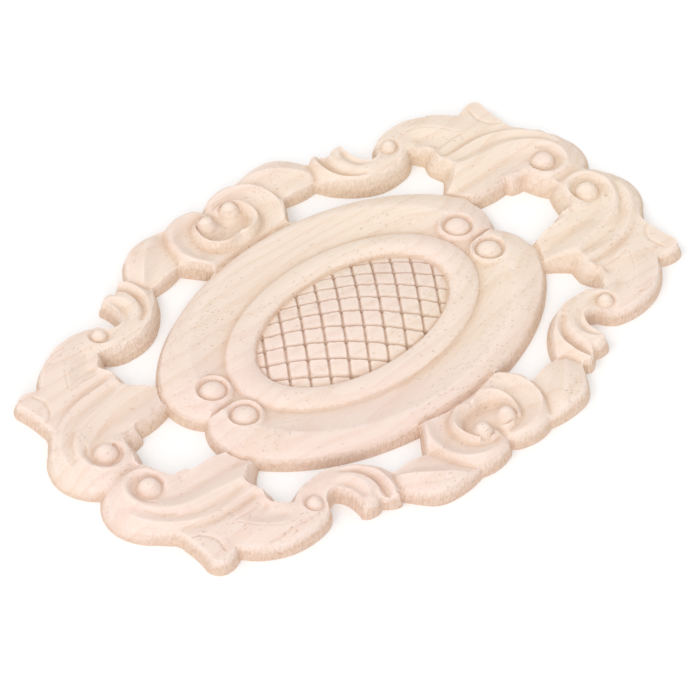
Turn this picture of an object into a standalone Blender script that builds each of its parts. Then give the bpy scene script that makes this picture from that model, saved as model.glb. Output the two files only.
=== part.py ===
# Carved wooden rosette: one oval pierced onlay, flat back on the ground, long axis along X.
# The drawing is one quarter, mirrored twice; only the crosshatch runs straight across the middle.
# Lengths in the drawing are millimetres, turned to metres when the mesh is made.
import math

import bpy
import numpy as np
from mathutils import Vector
from mathutils.geometry import delaunay_2d_cdt
from mathutils.kdtree import KDTree

# oval shield
OVAL = (95.0, 65.5)
RING_FOOT = (63.5, 40.7)
FIELD_EDGE = (48.5, 28.4)
FIELD_EDGE_HEIGHT = 6.1
FIELD_RISE = 6.6
RING_CREST_HEIGHT = 9.8
RING_FOOT_HEIGHT = 6.3
RIM_CREST = (76.5, 57.5)
RIM_CREST_HEIGHT = 9.4
BEVEL_POWER = 1.9
COVE_POWER = 1.45
RING_LEAN = 0.85
RING_FULLNESS = 0.62
OVAL_SEAM_HEIGHT = 6.4
OVAL_SEAM_RISE = 1.5
OVAL_SEAM_START = 66.0
OVAL_SEAM_END = 82.0
# where the arcs of the oval's end meet its ellipse, measured up from the long axis
OVAL_JOIN = 21.0
# side walls: height of the upright foot, top edge of the oval's wall and how far it stands in
WALL_FOOT = 0.8
OVAL_WALL_EDGE = 5.4
OVAL_WALL_INSET = 2.0
EDGE_BLEND = 4
EDGE_SOFTNESS = 0.5
# carved skin of the wreath
SWELL = 0.035
SKIN_ROUNDS = 700
CREASE_REACH = 0.5
HELD_MARGIN = 0.3
SWELL_FADE = 1.5
PULL_RANGE = (0.02, 8.0)
LEAF_OVER_OVAL = 1.5
OVERLAP = 5.0
# crosshatch
HATCH_ALONG = (6.5, -5.5)
HATCH_ACROSS = (4.9, 6.7)
HATCH_START = (3.0, -1.8)
HATCH_DEPTH = 1.2
HATCH_HALF_WIDTH = 0.9
HATCH_LINES = 8
HATCH_REACH = 0.97
HATCH_EDGE = 0.999
SHORTEST_GROOVE = 5.0
# mesh
OUTLINE_STEP = 3.6
LINE_STEP = 3.9
BEAD_STEP = 2.4
FILL_STEP = 4.6
ROW_STEP = FILL_STEP * math.sqrt(3) / 2
FILL_CLEARANCE = 0.55 * FILL_STEP
LINE_CLEARANCE = 0.7
INSET_SHARE = 0.93
RING_LINES = (0.2, 0.5, 0.8, 1.0)
FEWEST_BEAD_SIDES = 9
STRAIGHT = 0.05
MERGE_REACH = 0.85
SHARP_ANGLE = 30.0
MM = 0.001
QUARTERS = [(sx, sy) for sx in (1, -1) for sy in (1, -1)]

# outline stations: across, up, and how far the arc arriving there swells away from the wood
VOLUTE = [(141.6, 0.0, 0.0), (149.7, 16.5, 2.0), (141.0, 33.6, 2.1), (136.2, 38.8, 0.1)]
LEAF_TIP = [(135.0, 44.0, -0.5), (136.0, 58.0, -0.5), (131.5, 64.4, 1.4), (122.0, 62.4, 1.0)]
LOWER_LOBE = [(97.0, 76.4, 3.4), (84.0, 74.8, 0.7)]
HOOK_THROAT = [(78.7, 69.8, 0.6), (73.2, 66.2, -1.2), (70.6, 74.0, -0.9), (71.5, 80.3, -0.3)]
HOOK_TIPS = [(67.0, 83.0, 0.7), (62.0, 82.1, 0.5), (56.0, 86.2, 0.5), (53.0, 84.7, 0.5)]
BUD = [(46.0, 94.5, 0.3), (36.0, 98.6, 1.0), (20.0, 97.5, 0.8)]
SHELL = [(5.0, 97.7, 1.4), (0.0, 94.3, 0.7)]
OVAL_END = [(84.6, 0.0, 0.0), (89.6, 11.5, 0.9), (89.6, 16.8, 0.1)]
END_GAP_LEAF = [(106.0, 14.9, 0.9), (107.2, 12.6, 0.2), (113.0, 11.3, 0.4), (117.5, 0.0, 0.5)]
SIDE_GAP_BUD = [(22.7, 63.6, 0.0), (31.0, 74.5, 0.3), (46.6, 72.5, 0.9)]
SIDE_GAP_HOOK = [(60.0, 56.2, 1.6), (78.0, 51.6, 1.8), (89.6, 56.8, 1.4)]
SIDE_GAP_LEAF = [(92.4, 51.4, 0.0), (90.0, 45.5, 0.4), (91.6, 39.0, 0.1), (83.4, 31.36, -0.3)]

# ridges and valleys of the carving: stations across, up and height
CREASES = {
    "inner hollow": [(85, 26.5, 4.6), (90, 26.2, 4.8), (98, 25.6, 5.2), (107, 25.4, 5.6), (116, 25, 6.0),
                     (122, 23.8, 6.6), (126.8, 21.4, 7.4)],
    "main crest": [(92.5, 33.4, 9.4), (97, 35.8, 10.1), (103, 34.8, 9.9), (110, 33.4, 9.7),
                   (118, 32.4, 9.7), (126, 29.8, 9.8), (132, 25.4, 10.0), (136, 19.5, 10.3),
                   (137, 12.5, 10.5), (134.6, 6.4, 10.5), (130.3, 3.4, 10.4), (125.4, 3.4, 10.3),
                   (121.8, 5.8, 10.1), (119.8, 9.8, 9.9), (119.8, 13.8, 9.4), (121.2, 17, 8.4)],
    "cove": [(99.5, 38.7, 7.8), (104, 38.3, 7.2), (112, 37.9, 6.9), (120, 36.6, 6.9), (127, 33.5, 7.0),
             (132.5, 28.8, 7.1), (136.8, 23.2, 7.4), (139.2, 17.5, 7.7)],
    "outer rib": [(96.6, 42.9, 9.4), (99.5, 42.8, 9.3), (104, 42.9, 9.1), (111, 42.9, 9.0),
                  (119, 41.8, 8.9), (126, 39.1, 8.8), (131.5, 35.2, 8.7), (136.8, 30, 8.6),
                  (140.4, 24, 8.3), (142, 18, 7.6)],
    "rib groove": [(98.5, 45.6, 6.4), (104, 45.3, 6.2), (112, 45.1, 6.2), (120, 43.9, 6.3),
                   (126.4, 41.6, 6.5), (131, 38.8, 6.9)],
    "third lobe": [(96.4, 47.8, 8.2), (101, 48.5, 8.2), (108, 48.8, 8.2), (116, 48.2, 8.0),
                   (123, 46.6, 7.6)],
    "notch hollow": [(98, 52.6, 6.0), (101.5, 53.2, 6.6), (105, 53.4, 7.4)],
    "low leaf hollow": [(96, 61.5, 6.4), (101, 58.3, 6.8), (107, 54.5, 7.3)],
    "low leaf rib": [(114.5, 50, 8.2), (111.5, 55, 8.7), (108, 59.7, 9.1), (104.3, 63.4, 9.3),
                     (99.5, 66.6, 9.2), (94, 68.2, 8.6)],
    "eye end ridge": [(112.5, 14.5, 7.0), (114.5, 18, 7.2), (119.5, 20.6, 7.2)],
    "volute seam": [(117.6, 0, 5.0), (124, 0, 6.6), (131, 0, 7.0), (136.5, 0, 6.4), (141.4, 0, 3.6)],
    "leaf tip": [(131, 47, 7.3), (130, 57, 7.3)],
    "hook outer lip": [(55.9, 83.6, 8.6), (54.5, 80.5, 9.3), (53.8, 76, 9.8), (54, 71, 9.8),
                       (55.6, 66.6, 9.6), (58.6, 62.8, 9.5), (62.2, 60.2, 9.3), (66.5, 58.4, 9.1)],
    "hook groove": [(58.8, 83.2, 4.6), (57.6, 79, 4.8), (57, 74.5, 5.2), (57.2, 70, 5.6),
                    (58.8, 66, 6.2), (61.6, 62.8, 7.2), (65.2, 60.3, 8.0)],
    "hook crest": [(61.8, 80.4, 8.8), (60, 77.6, 9.5), (59.4, 74, 9.9), (59.9, 70, 10.0),
                   (61.6, 66.3, 10.0), (64.6, 63, 9.9), (68.8, 60.4, 9.7), (74.5, 58.8, 9.6),
                   (80.5, 58.6, 9.6), (86, 60.2, 9.6), (89, 64, 9.5), (88.4, 68.6, 9.1),
                   (85, 71.2, 8.4)],
    "hook scoop edge": [(68.6, 79.6, 9.4), (65.6, 78.6, 9.8), (63.4, 75.4, 10.1), (62.7, 71.2, 10.2),
                        (63.6, 67.4, 10.1), (66.2, 64.6, 9.9), (70.5, 62.6, 9.7), (76, 61.6, 9.4)],
    "hook scoop": [(67.4, 77, 7.8), (66.2, 73, 7.2), (66.6, 69.2, 7.2), (68.8, 66, 7.5),
                   (72.6, 64, 8.2)],
    "bud rib": [(48.3, 77.8, 8.0), (45, 81.2, 9.4), (41.4, 85.2, 10.2), (38, 88.3, 10.4),
                (34.5, 90.8, 10.2), (30.8, 93, 9.2), (27.4, 94.8, 7.6)],
    "bud hollow": [(46.5, 77, 6.2), (41, 79.8, 6.6), (35.5, 83, 6.9), (31, 86.5, 7.0)],
    "hook to bud": [(47.6, 73.4, 4.4), (50, 76.8, 5.4), (51.5, 80.3, 5.6), (52.5, 83.4, 5.0)],
    "bud to shell": [(30.2, 75.8, 5.0), (28.5, 80, 5.6), (27.4, 85, 5.8), (25.3, 90, 5.8),
                     (22, 95, 5.4)],
    "shell rim": [(21, 65, 9.2), (22.9, 68.2, 9.6), (24.9, 71.8, 9.8), (26.3, 76, 10.0),
                  (26.4, 80.5, 10.1), (25.2, 85.5, 10.2), (22.4, 89.7, 10.1), (17.6, 93, 9.8),
                  (11, 94.9, 9.2), (5.5, 94.2, 8.4), (2, 92.6, 7.2)],
    "shell cove": [(16, 66.6, 7.2), (19.4, 70.8, 7.0), (21.3, 76, 7.0), (21.4, 81.5, 7.1),
                   (19.2, 86.6, 7.3), (14.5, 90.6, 7.6), (9, 92.2, 7.6)],
    "shell groove": [(0, 65.5, 6.4), (4, 65.7, 6.2), (8.6, 66.9, 6.0), (12.6, 69.6, 5.9),
                     (15.4, 73.6, 5.9), (16.4, 78.5, 6.0), (15.5, 83.5, 6.2), (13, 87.5, 6.4),
                     (8.6, 90.2, 6.6), (3, 90.6, 6.2)],
    "shell lip": [(1.2, 70.6, 9.8), (3.4, 69, 10.8), (6.5, 68.6, 11.4), (10, 70, 11.3),
                  (12.9, 73.4, 10.9), (14, 78, 10.6), (13.2, 82.8, 10.6), (11.2, 86.3, 10.4),
                  (7.8, 88.6, 10.0), (4, 88.8, 9.2), (1.6, 87.4, 8.0)],
    "shell cup": [(0, 73.6, 4.2), (3.5, 73.6, 4.0), (7.5, 75, 4.2), (10.4, 78.4, 5.2), (11.6, 82, 6.8)],
    "shell seam": [(0, 77, 5.4), (0, 94, 5.4)],
}
# places where the skin bulges more or less than elsewhere: centre, reach, swell
SWELLS = [((131, 52), 12, 0.0), ((104, 52), 12, 0.005), ((20, 80), 9, -0.03), ((57, 74), 6, -0.05),
          ((66, 70), 6, -0.03), ((112, 29), 8, 0.045), ((112, 37), 4, -0.02), ((5, 77), 6, -0.05)]
# side walls at places round the outline: across, up, height of the top edge, how far it stands in
EDGE_STATIONS = [
    (141.6, 0, 4.6, 2.4), (147, 8, 4.0, 3.0), (149.7, 16.5, 3.6, 3.2), (147, 26, 4.6, 3.0),
    (141, 33.6, 6.0, 2.4), (136.2, 38.8, 6.8, 2.4), (135, 46, 7.2, 2.4), (136, 58, 7.2, 2.4),
    (131.5, 64.4, 7.0, 2.2), (122, 62.4, 6.8, 2.2), (110, 71.5, 6.8, 2.1), (97, 76.4, 7.2, 2.0),
    (84, 74.8, 6.8, 1.9), (78.7, 69.8, 8.0, 1.6), (73.2, 66.2, 8.8, 1.7), (70.6, 74, 9.0, 2.1),
    (71.5, 80.3, 9.2, 2.3), (65, 82.6, 8.4, 2.0), (61, 82.5, 6.2, 1.5), (56.5, 86, 7.8, 1.6),
    (53, 84.7, 6.0, 1.6), (46, 94.5, 7.0, 2.0), (36, 98.6, 7.0, 2.0), (22, 97.8, 6.0, 1.8),
    (16, 98.3, 7.2, 2.0), (5, 97.7, 7.2, 2.0), (0, 94.3, 5.4, 1.6), (117.5, 2, 9.2, 4.2),
    (115, 7, 9.7, 4.8), (113, 11.3, 9.4, 4.8), (108, 12.4, 8.4, 3.4), (106, 14.9, 8.6, 3.2),
    (98, 17, 8.2, 2.9), (91, 17, 7.2, 2.6), (23, 64, 8.8, 1.8), (25.5, 67.5, 9.1, 1.9),
    (28, 71, 9.1, 2.0), (31, 74.5, 5.4, 1.4), (37, 75.3, 6.4, 1.8), (46.6, 72.5, 5.4, 1.5),
    (50, 66.5, 7.8, 2.4), (57, 59.5, 8.8, 3.1), (66, 54.8, 9.0, 3.5), (78, 51.6, 9.1, 3.9),
    (86, 54, 9.0, 3.4), (89.6, 56.8, 8.0, 2.3), (92.4, 51.4, 9.2, 4.6), (91, 48.5, 9.6, 5.0),
    (90, 45.5, 9.8, 5.2), (90.6, 42, 9.9, 5.4), (91.6, 39, 9.9, 5.4), (89, 36, 9.5, 4.8),
    (86, 33.5, 8.2, 3.6), (83.4, 31.4, 5.8, 2.3), (80, 35.3, 5.4, 2.0), (70, 44.3, 5.4, 2.0),
    (55, 53.4, 5.4, 2.0), (40, 59.4, 5.4, 2.0), (30, 62.1, 5.4, 2.0), (84.6, 0, 5.4, 2.0),
    (88, 6, 5.4, 2.0), (89.6, 12, 5.4, 2.0)]
# eyes: centre, radius of the bead, height of its top, drop to its foot
EYES = {
    "oval eye": ((71.0, 9.7), 5.9, 10.2, 3.0),
    "volute eye": ((126.8, 13.2), 5.5, 11.8, 4.8),
    "hook eye": ((84.2, 65.7), 3.7, 11.2, 3.8),
    "shell eye": ((6.7, 84.1), 4.5, 12.0, 4.6),
}
WREATH_EYES = ("volute eye", "hook eye", "shell eye")
# shape of a bead's dome; the thin lip round the oval's eye: its distance, drop below the bead and outer slope
EYE_DOME = 2.4
EYE_LIP = 1.5
EYE_LIP_DROP = 0.9
EYE_FALL = 1.5


def arc(start, end, swell, step):
    """Points after the start, up to the end, on the circle whose middle stands swell to the right."""
    start = np.array(start)
    chord = np.array(end) - start
    length = math.hypot(*chord)
    count = max(1, round((length + abs(swell)) / step))
    right = np.array([chord[1], -chord[0]]) / length
    if abs(swell) < STRAIGHT:
        return [start + chord * i / count for i in range(1, count + 1)]
    angle = 4 * math.atan(2 * swell / length)
    radius = length / (2 * math.sin(angle / 2))
    middle = start + chord / 2
    points = []
    for i in range(1, count + 1):
        turn = angle * (i / count - 0.5)
        points.append(middle + chord / length * radius * math.sin(turn)
                      + right * radius * (math.cos(turn) - math.cos(angle / 2)))
    return points


def run(stations, step=OUTLINE_STEP):
    """A polyline through stations joined by arcs."""
    points = [np.array(stations[0][:2])]
    for across, up, swell in stations[1:]:
        points += arc(points[-1], (across, up), swell, step)
    return points


def ellipse_run(half, first, last, step):
    """Points of an ellipse's first quarter, between two angles."""
    count = max(2, round(abs(last - first) * (half[0] + half[1]) / 2 / step))
    angles = np.linspace(first, last, count + 1)
    return [np.array([half[0] * math.cos(a), half[1] * math.sin(a)]) for a in angles]


def smooth_run(stations, step):
    """A smooth curve through its stations."""
    knots = [np.array(s, float) for s in stations]
    knots = [2 * knots[0] - knots[1]] + knots + [2 * knots[-1] - knots[-2]]
    points = [knots[1]]
    for a, b, c, d in zip(knots, knots[1:], knots[2:], knots[3:]):
        count = max(1, round(math.hypot(*(c - b)) / step))
        for i in range(1, count + 1):
            t = i / count
            points.append(0.5 * (2 * b + (c - a) * t + (2 * a - 5 * b + 4 * c - d) * t * t
                                 + (3 * b - a - 3 * c + d) * t ** 3))
    return points


def mirrored(points, sx, sy):
    return [np.array([p[0] * sx, p[1] * sy]) for p in points]


def around(quarter):
    """A closed loop round both axes from its first quarter, which runs from the X axis to the Y axis."""
    second = mirrored(quarter, -1, 1)[::-1][1:]
    half = quarter + second
    return half + mirrored(half, 1, -1)[::-1][1:-1]


def nearest(points, line):
    """Distance from each point to a polyline, and the third value there."""
    best = np.full(len(points), 1e9)
    level = np.zeros(len(points))
    for a, b in zip(line, line[1:]):
        span = b[:2] - a[:2]
        along = np.clip(((points - a[:2]) @ span) / (span @ span), 0, 1)
        gap = points - a[:2] - along[:, None] * span
        away = np.hypot(gap[:, 0], gap[:, 1])
        if len(a) > 2:
            level = np.where(away < best, a[2] + along * (b[2] - a[2]), level)
        best = np.minimum(best, away)
    return best, level


def distance(points, line):
    """Distance from each point to a polyline."""
    return nearest(points, line)[0]


def gap_to(points, lines):
    """Distance from each point to the nearest of several polylines."""
    return np.min([distance(points, line) for line in lines], axis=0)


def inside(points, loop):
    """Which points lie inside a closed loop."""
    result = np.zeros(len(points), bool)
    for a, b in zip(loop, loop[1:] + loop[:1]):
        if a[1] == b[1]:
            continue
        crosses = (points[:, 1] < a[1]) != (points[:, 1] < b[1])
        at = a[0] + (points[:, 1] - a[1]) * (b[0] - a[0]) / (b[1] - a[1])
        result ^= crosses & (points[:, 0] < at)
    return result


SIDE_ANGLES = [math.atan2(p[1] / OVAL[1], p[0] / OVAL[0]) for p in (SIDE_GAP_LEAF[-1], SIDE_GAP_BUD[0])]
OUTER = run(VOLUTE + LEAF_TIP + LOWER_LOBE + HOOK_THROAT + HOOK_TIPS + BUD + SHELL)
END_GAP = run(OVAL_END + END_GAP_LEAF)
SIDE_GAP = run(SIDE_GAP_BUD + SIDE_GAP_HOOK + SIDE_GAP_LEAF)
SIDE_GAP += ellipse_run(OVAL, SIDE_ANGLES[0], SIDE_ANGLES[1], OUTLINE_STEP)[1:-1]
OVAL_OUTLINE = run(OVAL_END) + ellipse_run(OVAL, math.asin(OVAL_JOIN / OVAL[1]), math.pi / 2, OUTLINE_STEP)
QUARTER_EDGES = [OUTER, END_GAP, SIDE_GAP + SIDE_GAP[:1]]
# corners that close the oval's quarter a little beyond both axes
PAST_MIDDLE = [np.array(corner) for corner in ((-1.0, OVAL[1]), (-1.0, -1.0), (OVAL_END[0][0], -1.0))]


def span_place(points, inner, outer):
    """0 on the inner ellipse, 1 on the outer, measured straight out from the middle."""
    away = np.maximum(np.hypot(points[:, 0], points[:, 1]), 1e-6)
    across, up = points[:, 0] / away, points[:, 1] / away
    near, far = (1 / np.sqrt((across / half[0]) ** 2 + (up / half[1]) ** 2) for half in (inner, outer))
    return (away - near) / (far - near)


def field_reach(points):
    """0 in the middle of the hatched field, 1 on its edge."""
    return (points[:, 0] / FIELD_EDGE[0]) ** 2 + (points[:, 1] / FIELD_EDGE[1]) ** 2


def oval_height(points):
    """Height of the shield: domed field, round ring, cove and bevelled rim."""
    cove = span_place(points, RING_FOOT, RIM_CREST)
    ring_way = np.clip(span_place(points, FIELD_EDGE, RING_FOOT), 0, 1)
    from_edge = distance(points, OVAL_OUTLINE) - OVAL_WALL_INSET
    wall = OVAL_WALL_EDGE + (OVAL_WALL_EDGE - WALL_FOOT) * from_edge / OVAL_WALL_INSET
    crest = 1 / np.sqrt((points[:, 0] / RIM_CREST[0]) ** 2 + (points[:, 1] / RIM_CREST[1]) ** 2 + 1e-9)
    past = np.hypot(points[:, 0], points[:, 1]) * np.clip(1 - crest, 0, 1)
    way = np.clip(from_edge, 0, None) / (np.clip(from_edge, 0, None) + past + 1e-6)
    bevel = OVAL_WALL_EDGE + (RIM_CREST_HEIGHT - OVAL_WALL_EDGE) * (1 - (1 - way) ** BEVEL_POWER)
    rim = np.where(from_edge < 0, wall, bevel)
    dip = RING_FOOT_HEIGHT + (RIM_CREST_HEIGHT - RING_FOOT_HEIGHT) * np.clip(cove, 0, 1) ** COVE_POWER
    rim = np.where(cove < 1, np.minimum(rim, dip), rim)
    seat = FIELD_EDGE_HEIGHT + (RING_FOOT_HEIGHT - FIELD_EDGE_HEIGHT) * ring_way
    ring = seat + (RING_CREST_HEIGHT - seat) * np.sin(math.pi * ring_way ** RING_LEAN) ** RING_FULLNESS
    reach = field_reach(points)
    field = FIELD_EDGE_HEIGHT + FIELD_RISE * (1 - reach)
    height = np.where(cove > 0, rim, ring)
    return np.where(reach < 1, field, height)


def wall_top(points):
    """Height and inset of the side walls' top edge near each point, blended from the nearest stations."""
    points = np.asarray(points)[:, :2]
    stations = np.array(EDGE_STATIONS)
    away = np.hypot(points[:, None, 0] - stations[None, :, 0], points[:, None, 1] - stations[None, :, 1])
    share = 1 / (away + EDGE_SOFTNESS) ** EDGE_BLEND
    mean = share @ stations[:, 2:] / share.sum(axis=1)[:, None]
    return mean[:, 0], mean[:, 1]


def stretched(corners, faces, height, held, swell):
    """Heights of a skin held at some corners and stretched between them, by conjugate gradients."""
    count = len(corners)
    first, second, weight = [], [], []
    area = np.zeros(count)
    for k in range(3):
        a, b, c = (corners[faces[:, (k + i) % 3]] for i in range(3))
        u, v = a - c, b - c
        double = np.abs(u[:, 0] * v[:, 1] - u[:, 1] * v[:, 0])
        first.append(faces[:, k])
        second.append(faces[:, (k + 1) % 3])
        weight.append(np.clip((u * v).sum(axis=1) / np.maximum(double, 1e-6), *PULL_RANGE) / 2)
        area += np.bincount(faces[:, k], double / 6, count)
    first, second, weight = (np.concatenate(part) for part in (first, second, weight))
    total = np.bincount(first, weight, count) + np.bincount(second, weight, count) + 1e-9
    free = ~held

    def pull(x):
        forth = np.bincount(first, weight * x[second], count)
        back = np.bincount(second, weight * x[first], count)
        return total * x - forth - back

    height = np.where(held, height, height[held].mean())
    rest = np.where(free, swell * area - pull(height), 0)
    step = rest / total
    way = step.copy()
    gain = rest @ step
    for _ in range(SKIN_ROUNDS):
        moved = np.where(free, pull(way), 0)
        size = gain / (way @ moved)
        height = height + size * way
        rest = rest - size * moved
        step = rest / total
        new_gain = rest @ step
        if new_gain < 1e-9 * count:
            break
        way = step + new_gain / gain * way
        gain = new_gain
    return height


def swell_at(points):
    """How strongly the skin bulges at each point."""
    swell = np.full(len(points), SWELL)
    for centre, reach, value in SWELLS:
        away = np.hypot(points[:, 0] - centre[0], points[:, 1] - centre[1]) / reach
        share = np.clip(SWELL_FADE - away, 0, 1)
        swell = swell * (1 - share) + value * share
    return swell


def wreath_skin(corners, faces, edge, beyond):
    """Height of the wreath: side walls, then a skin stretched over its ridges, valleys and eyes."""
    top, inset = wall_top(corners)
    height = WALL_FOOT + (top - WALL_FOOT) * np.clip(edge / inset, 0, 1)
    held = edge < inset + HELD_MARGIN
    for stations in CREASES.values():
        away, level = nearest(corners, smooth_run(stations, 1.0))
        on_line = (away < CREASE_REACH) & (edge > inset)
        height = np.where(on_line, level, height)
        held |= on_line
    for name in WREATH_EYES:
        centre, radius, crown, drop = EYES[name]
        away = np.hypot(corners[:, 0] - centre[0], corners[:, 1] - centre[1])
        on_bead = away < radius + CREASE_REACH
        height = np.where(on_bead, bead_height(away, radius, crown, drop), height)
        held |= on_bead
    used = ~beyond[faces].all(axis=1)
    near_wreath = np.zeros(len(corners), bool)
    near_wreath[faces[used]] = True
    part = faces[near_wreath[faces].all(axis=1)]
    return stretched(corners, part, height, held | ~near_wreath, swell_at(corners))


def bead_height(away, radius, crown, drop):
    """A domed bead, from its crown down to its foot."""
    return crown - drop * np.clip(away / radius, 0, 1) ** EYE_DOME


def with_oval_eye(points, height):
    """A bead and the thin lip round it, which falls away outside."""
    centre, radius, crown, drop = EYES["oval eye"]
    away = np.hypot(points[:, 0] - centre[0], points[:, 1] - centre[1])
    foot = crown - drop
    lip_top = crown - EYE_LIP_DROP
    rise = np.clip((away - radius) / EYE_LIP, 0, 1)
    lip = foot + (lip_top - foot) * np.sin(rise * math.pi / 2)
    fall = np.maximum(height, lip_top - EYE_FALL * (away - radius - EYE_LIP))
    height = np.where(away < radius + EYE_LIP, lip, fall)
    return np.where(away < radius, bead_height(away, radius, crown, drop), height)


def hatch_depth(plan):
    """Depth of the crosshatch grooves, from signed plan points."""
    from_start = plan - np.array(HATCH_START)
    depth = np.zeros(len(plan))
    for along, step in ((HATCH_ALONG, HATCH_ACROSS), (HATCH_ACROSS, HATCH_ALONG)):
        normal = np.array([along[1], -along[0]]) / math.hypot(*along)
        spacing = abs(normal @ np.array(step))
        offset = (from_start @ normal) / spacing
        near = np.abs(offset - np.round(offset)) * spacing
        depth = np.maximum(depth, HATCH_DEPTH * np.clip(1 - near / HATCH_HALF_WIDTH, 0, 1))
    return depth


def surface(plan, faces):
    """Height of the carved face over signed plan points."""
    points = np.abs(plan)
    oval = with_oval_eye(points, oval_height(points))
    seam = OVAL_SEAM_HEIGHT + OVAL_SEAM_RISE * points[:, 1]
    oval = np.where(points[:, 0] > OVAL_SEAM_START, np.minimum(oval, seam), oval)
    edge = gap_to(points, QUARTER_EDGES)
    from_oval = distance(points, OVAL_OUTLINE)
    in_oval = inside(points, OVAL_OUTLINE + PAST_MIDDLE) & (from_oval > 1e-3)
    beyond = in_oval & (from_oval > OVERLAP)
    wreath = wreath_skin(points, faces, edge, beyond)
    wreath = wreath - np.where(in_oval, LEAF_OVER_OVAL * from_oval, 0)
    height = np.where(in_oval, np.maximum(oval, np.where(beyond, 0, wreath)), wreath)
    height = np.maximum(height, WALL_FOOT)
    return height - np.where(field_reach(plan) < HATCH_EDGE, hatch_depth(plan), 0)


def boundary_loops():
    """The outer edge and the six openings."""
    end = END_GAP + mirrored(END_GAP, 1, -1)[::-1][1:-1]
    loops = [around(OUTER), end, mirrored(end, -1, 1)]
    return loops + [mirrored(SIDE_GAP, sx, sy) for sx in (1, -1) for sy in (1, -1)]


def in_wood(plan, loops):
    """Which points lie inside the outer edge and outside the openings."""
    result = inside(plan, loops[0])
    for gap in loops[1:]:
        result &= ~inside(plan, gap)
    return result


def closed(loops):
    """The loops as polylines that end where they start."""
    return [loop + loop[:1] for loop in loops]


def pieces_where(line, keep):
    """The stretches of a line whose points are kept."""
    piece = []
    for point, wanted in zip(line, keep):
        if wanted:
            piece.append(point)
        elif len(piece) > 1:
            yield piece
        if not wanted:
            piece = []
    if len(piece) > 1:
        yield piece


def inset_lines(loops):
    """Lines along the top edge of the side walls, in pieces where the wood is too narrow."""
    lines = []
    for loop in loops:
        points = np.array(loop)
        along = np.roll(points, -1, axis=0) - np.roll(points, 1, axis=0)
        along /= np.hypot(along[:, 0], along[:, 1])[:, None]
        inset = wall_top(np.abs(points))[1]
        normal = np.c_[-along[:, 1], along[:, 0]] * inset[:, None]
        once_round = list(range(len(points))) + [0]
        for side in (1, -1):
            moved = points + side * normal
            keep = in_wood(moved, loops) & (gap_to(moved, closed(loops)) > INSET_SHARE * inset)
            lines += pieces_where(moved[once_round], keep[once_round])
    return lines


def circle(centre, radius):
    """A closed run round a bead."""
    count = max(FEWEST_BEAD_SIDES, round(2 * math.pi * radius / BEAD_STEP))
    turns = [2 * math.pi * i / count for i in range(count + 1)]
    return [np.array([centre[0] + radius * math.cos(t), centre[1] + radius * math.sin(t)]) for t in turns]


def feature_lines():
    """Lines in the first quarter that the carved face follows."""
    lines = [[point[:2] for point in smooth_run(stations, LINE_STEP)] for stations in CREASES.values()]
    for centre, radius, _, _ in EYES.values():
        lines.append(circle(centre, radius))
    centre, radius, _, _ = EYES["oval eye"]
    lines.append(circle(centre, radius + EYE_LIP))
    lines.append([np.array([across, 0.0]) for across in np.arange(OVAL_SEAM_START, OVAL_SEAM_END, LINE_STEP)])
    rings = [FIELD_EDGE, RIM_CREST, [(a + b) / 2 for a, b in zip(RING_FOOT, RIM_CREST)]]
    rings += [[a + share * (b - a) for a, b in zip(FIELD_EDGE, RING_FOOT)] for share in RING_LINES]
    for half in rings:
        lines.append(ellipse_run(half, 0, math.pi / 2, LINE_STEP))
    lines.append(OVAL_OUTLINE)
    return lines


def carved_lines(loops):
    """The feature lines of all four quarters, cut off short of the side walls."""
    lines = []
    for line in feature_lines():
        for sx, sy in QUARTERS:
            points = np.array(mirrored(line, sx, sy))
            clear = gap_to(points, closed(loops)) > wall_top(np.abs(points))[1] + LINE_CLEARANCE
            lines += pieces_where(points, in_wood(points, loops) & clear)
    return lines


def hatch_lines():
    """Three lines for each groove of the crosshatch, cut off at the edge of the field."""
    lines = []
    for along, step in ((HATCH_ALONG, HATCH_ACROSS), (HATCH_ACROSS, HATCH_ALONG)):
        along = np.array(along) / math.hypot(*along)
        normal = np.array([along[1], -along[0]])
        spacing = abs(normal @ np.array(step))
        first = normal @ np.array(HATCH_START)
        for i in range(-HATCH_LINES, HATCH_LINES + 1):
            for shift in (-HATCH_HALF_WIDTH, 0, HATCH_HALF_WIDTH):
                foot = normal * (first + i * spacing + shift)
                # where the line meets the ellipse of the field
                a = sum((along[k] / FIELD_EDGE[k]) ** 2 for k in (0, 1))
                b = sum(along[k] * foot[k] / FIELD_EDGE[k] ** 2 for k in (0, 1))
                c = sum((foot[k] / FIELD_EDGE[k]) ** 2 for k in (0, 1)) - HATCH_REACH
                half = math.sqrt(max(b * b - a * c, 0)) / a
                if half > SHORTEST_GROOVE:
                    lines.append([foot + along * (side * half - b / a) for side in (-1, 1)])
    return lines


def fill_points(loops, lines):
    """Staggered points over the wood, clear of its edges and lines, mirrored as the drawing is."""
    reach = np.max(OUTER, axis=0)
    across = np.arange(0, reach[0], FILL_STEP)
    fill = []
    for row in range(int(reach[1] / ROW_STEP) + 1):
        shift = FILL_STEP * (1 + 2 * (row % 2)) / 4
        fill += [(x + shift, (row + 0.5) * ROW_STEP) for x in across]
    fill = np.concatenate([np.array(fill) * np.array(signs) for signs in QUARTERS])
    clear = gap_to(fill, closed(loops) + lines) > FILL_CLEARANCE
    return fill[in_wood(fill, loops) & clear & (field_reach(fill) > 1)]


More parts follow.
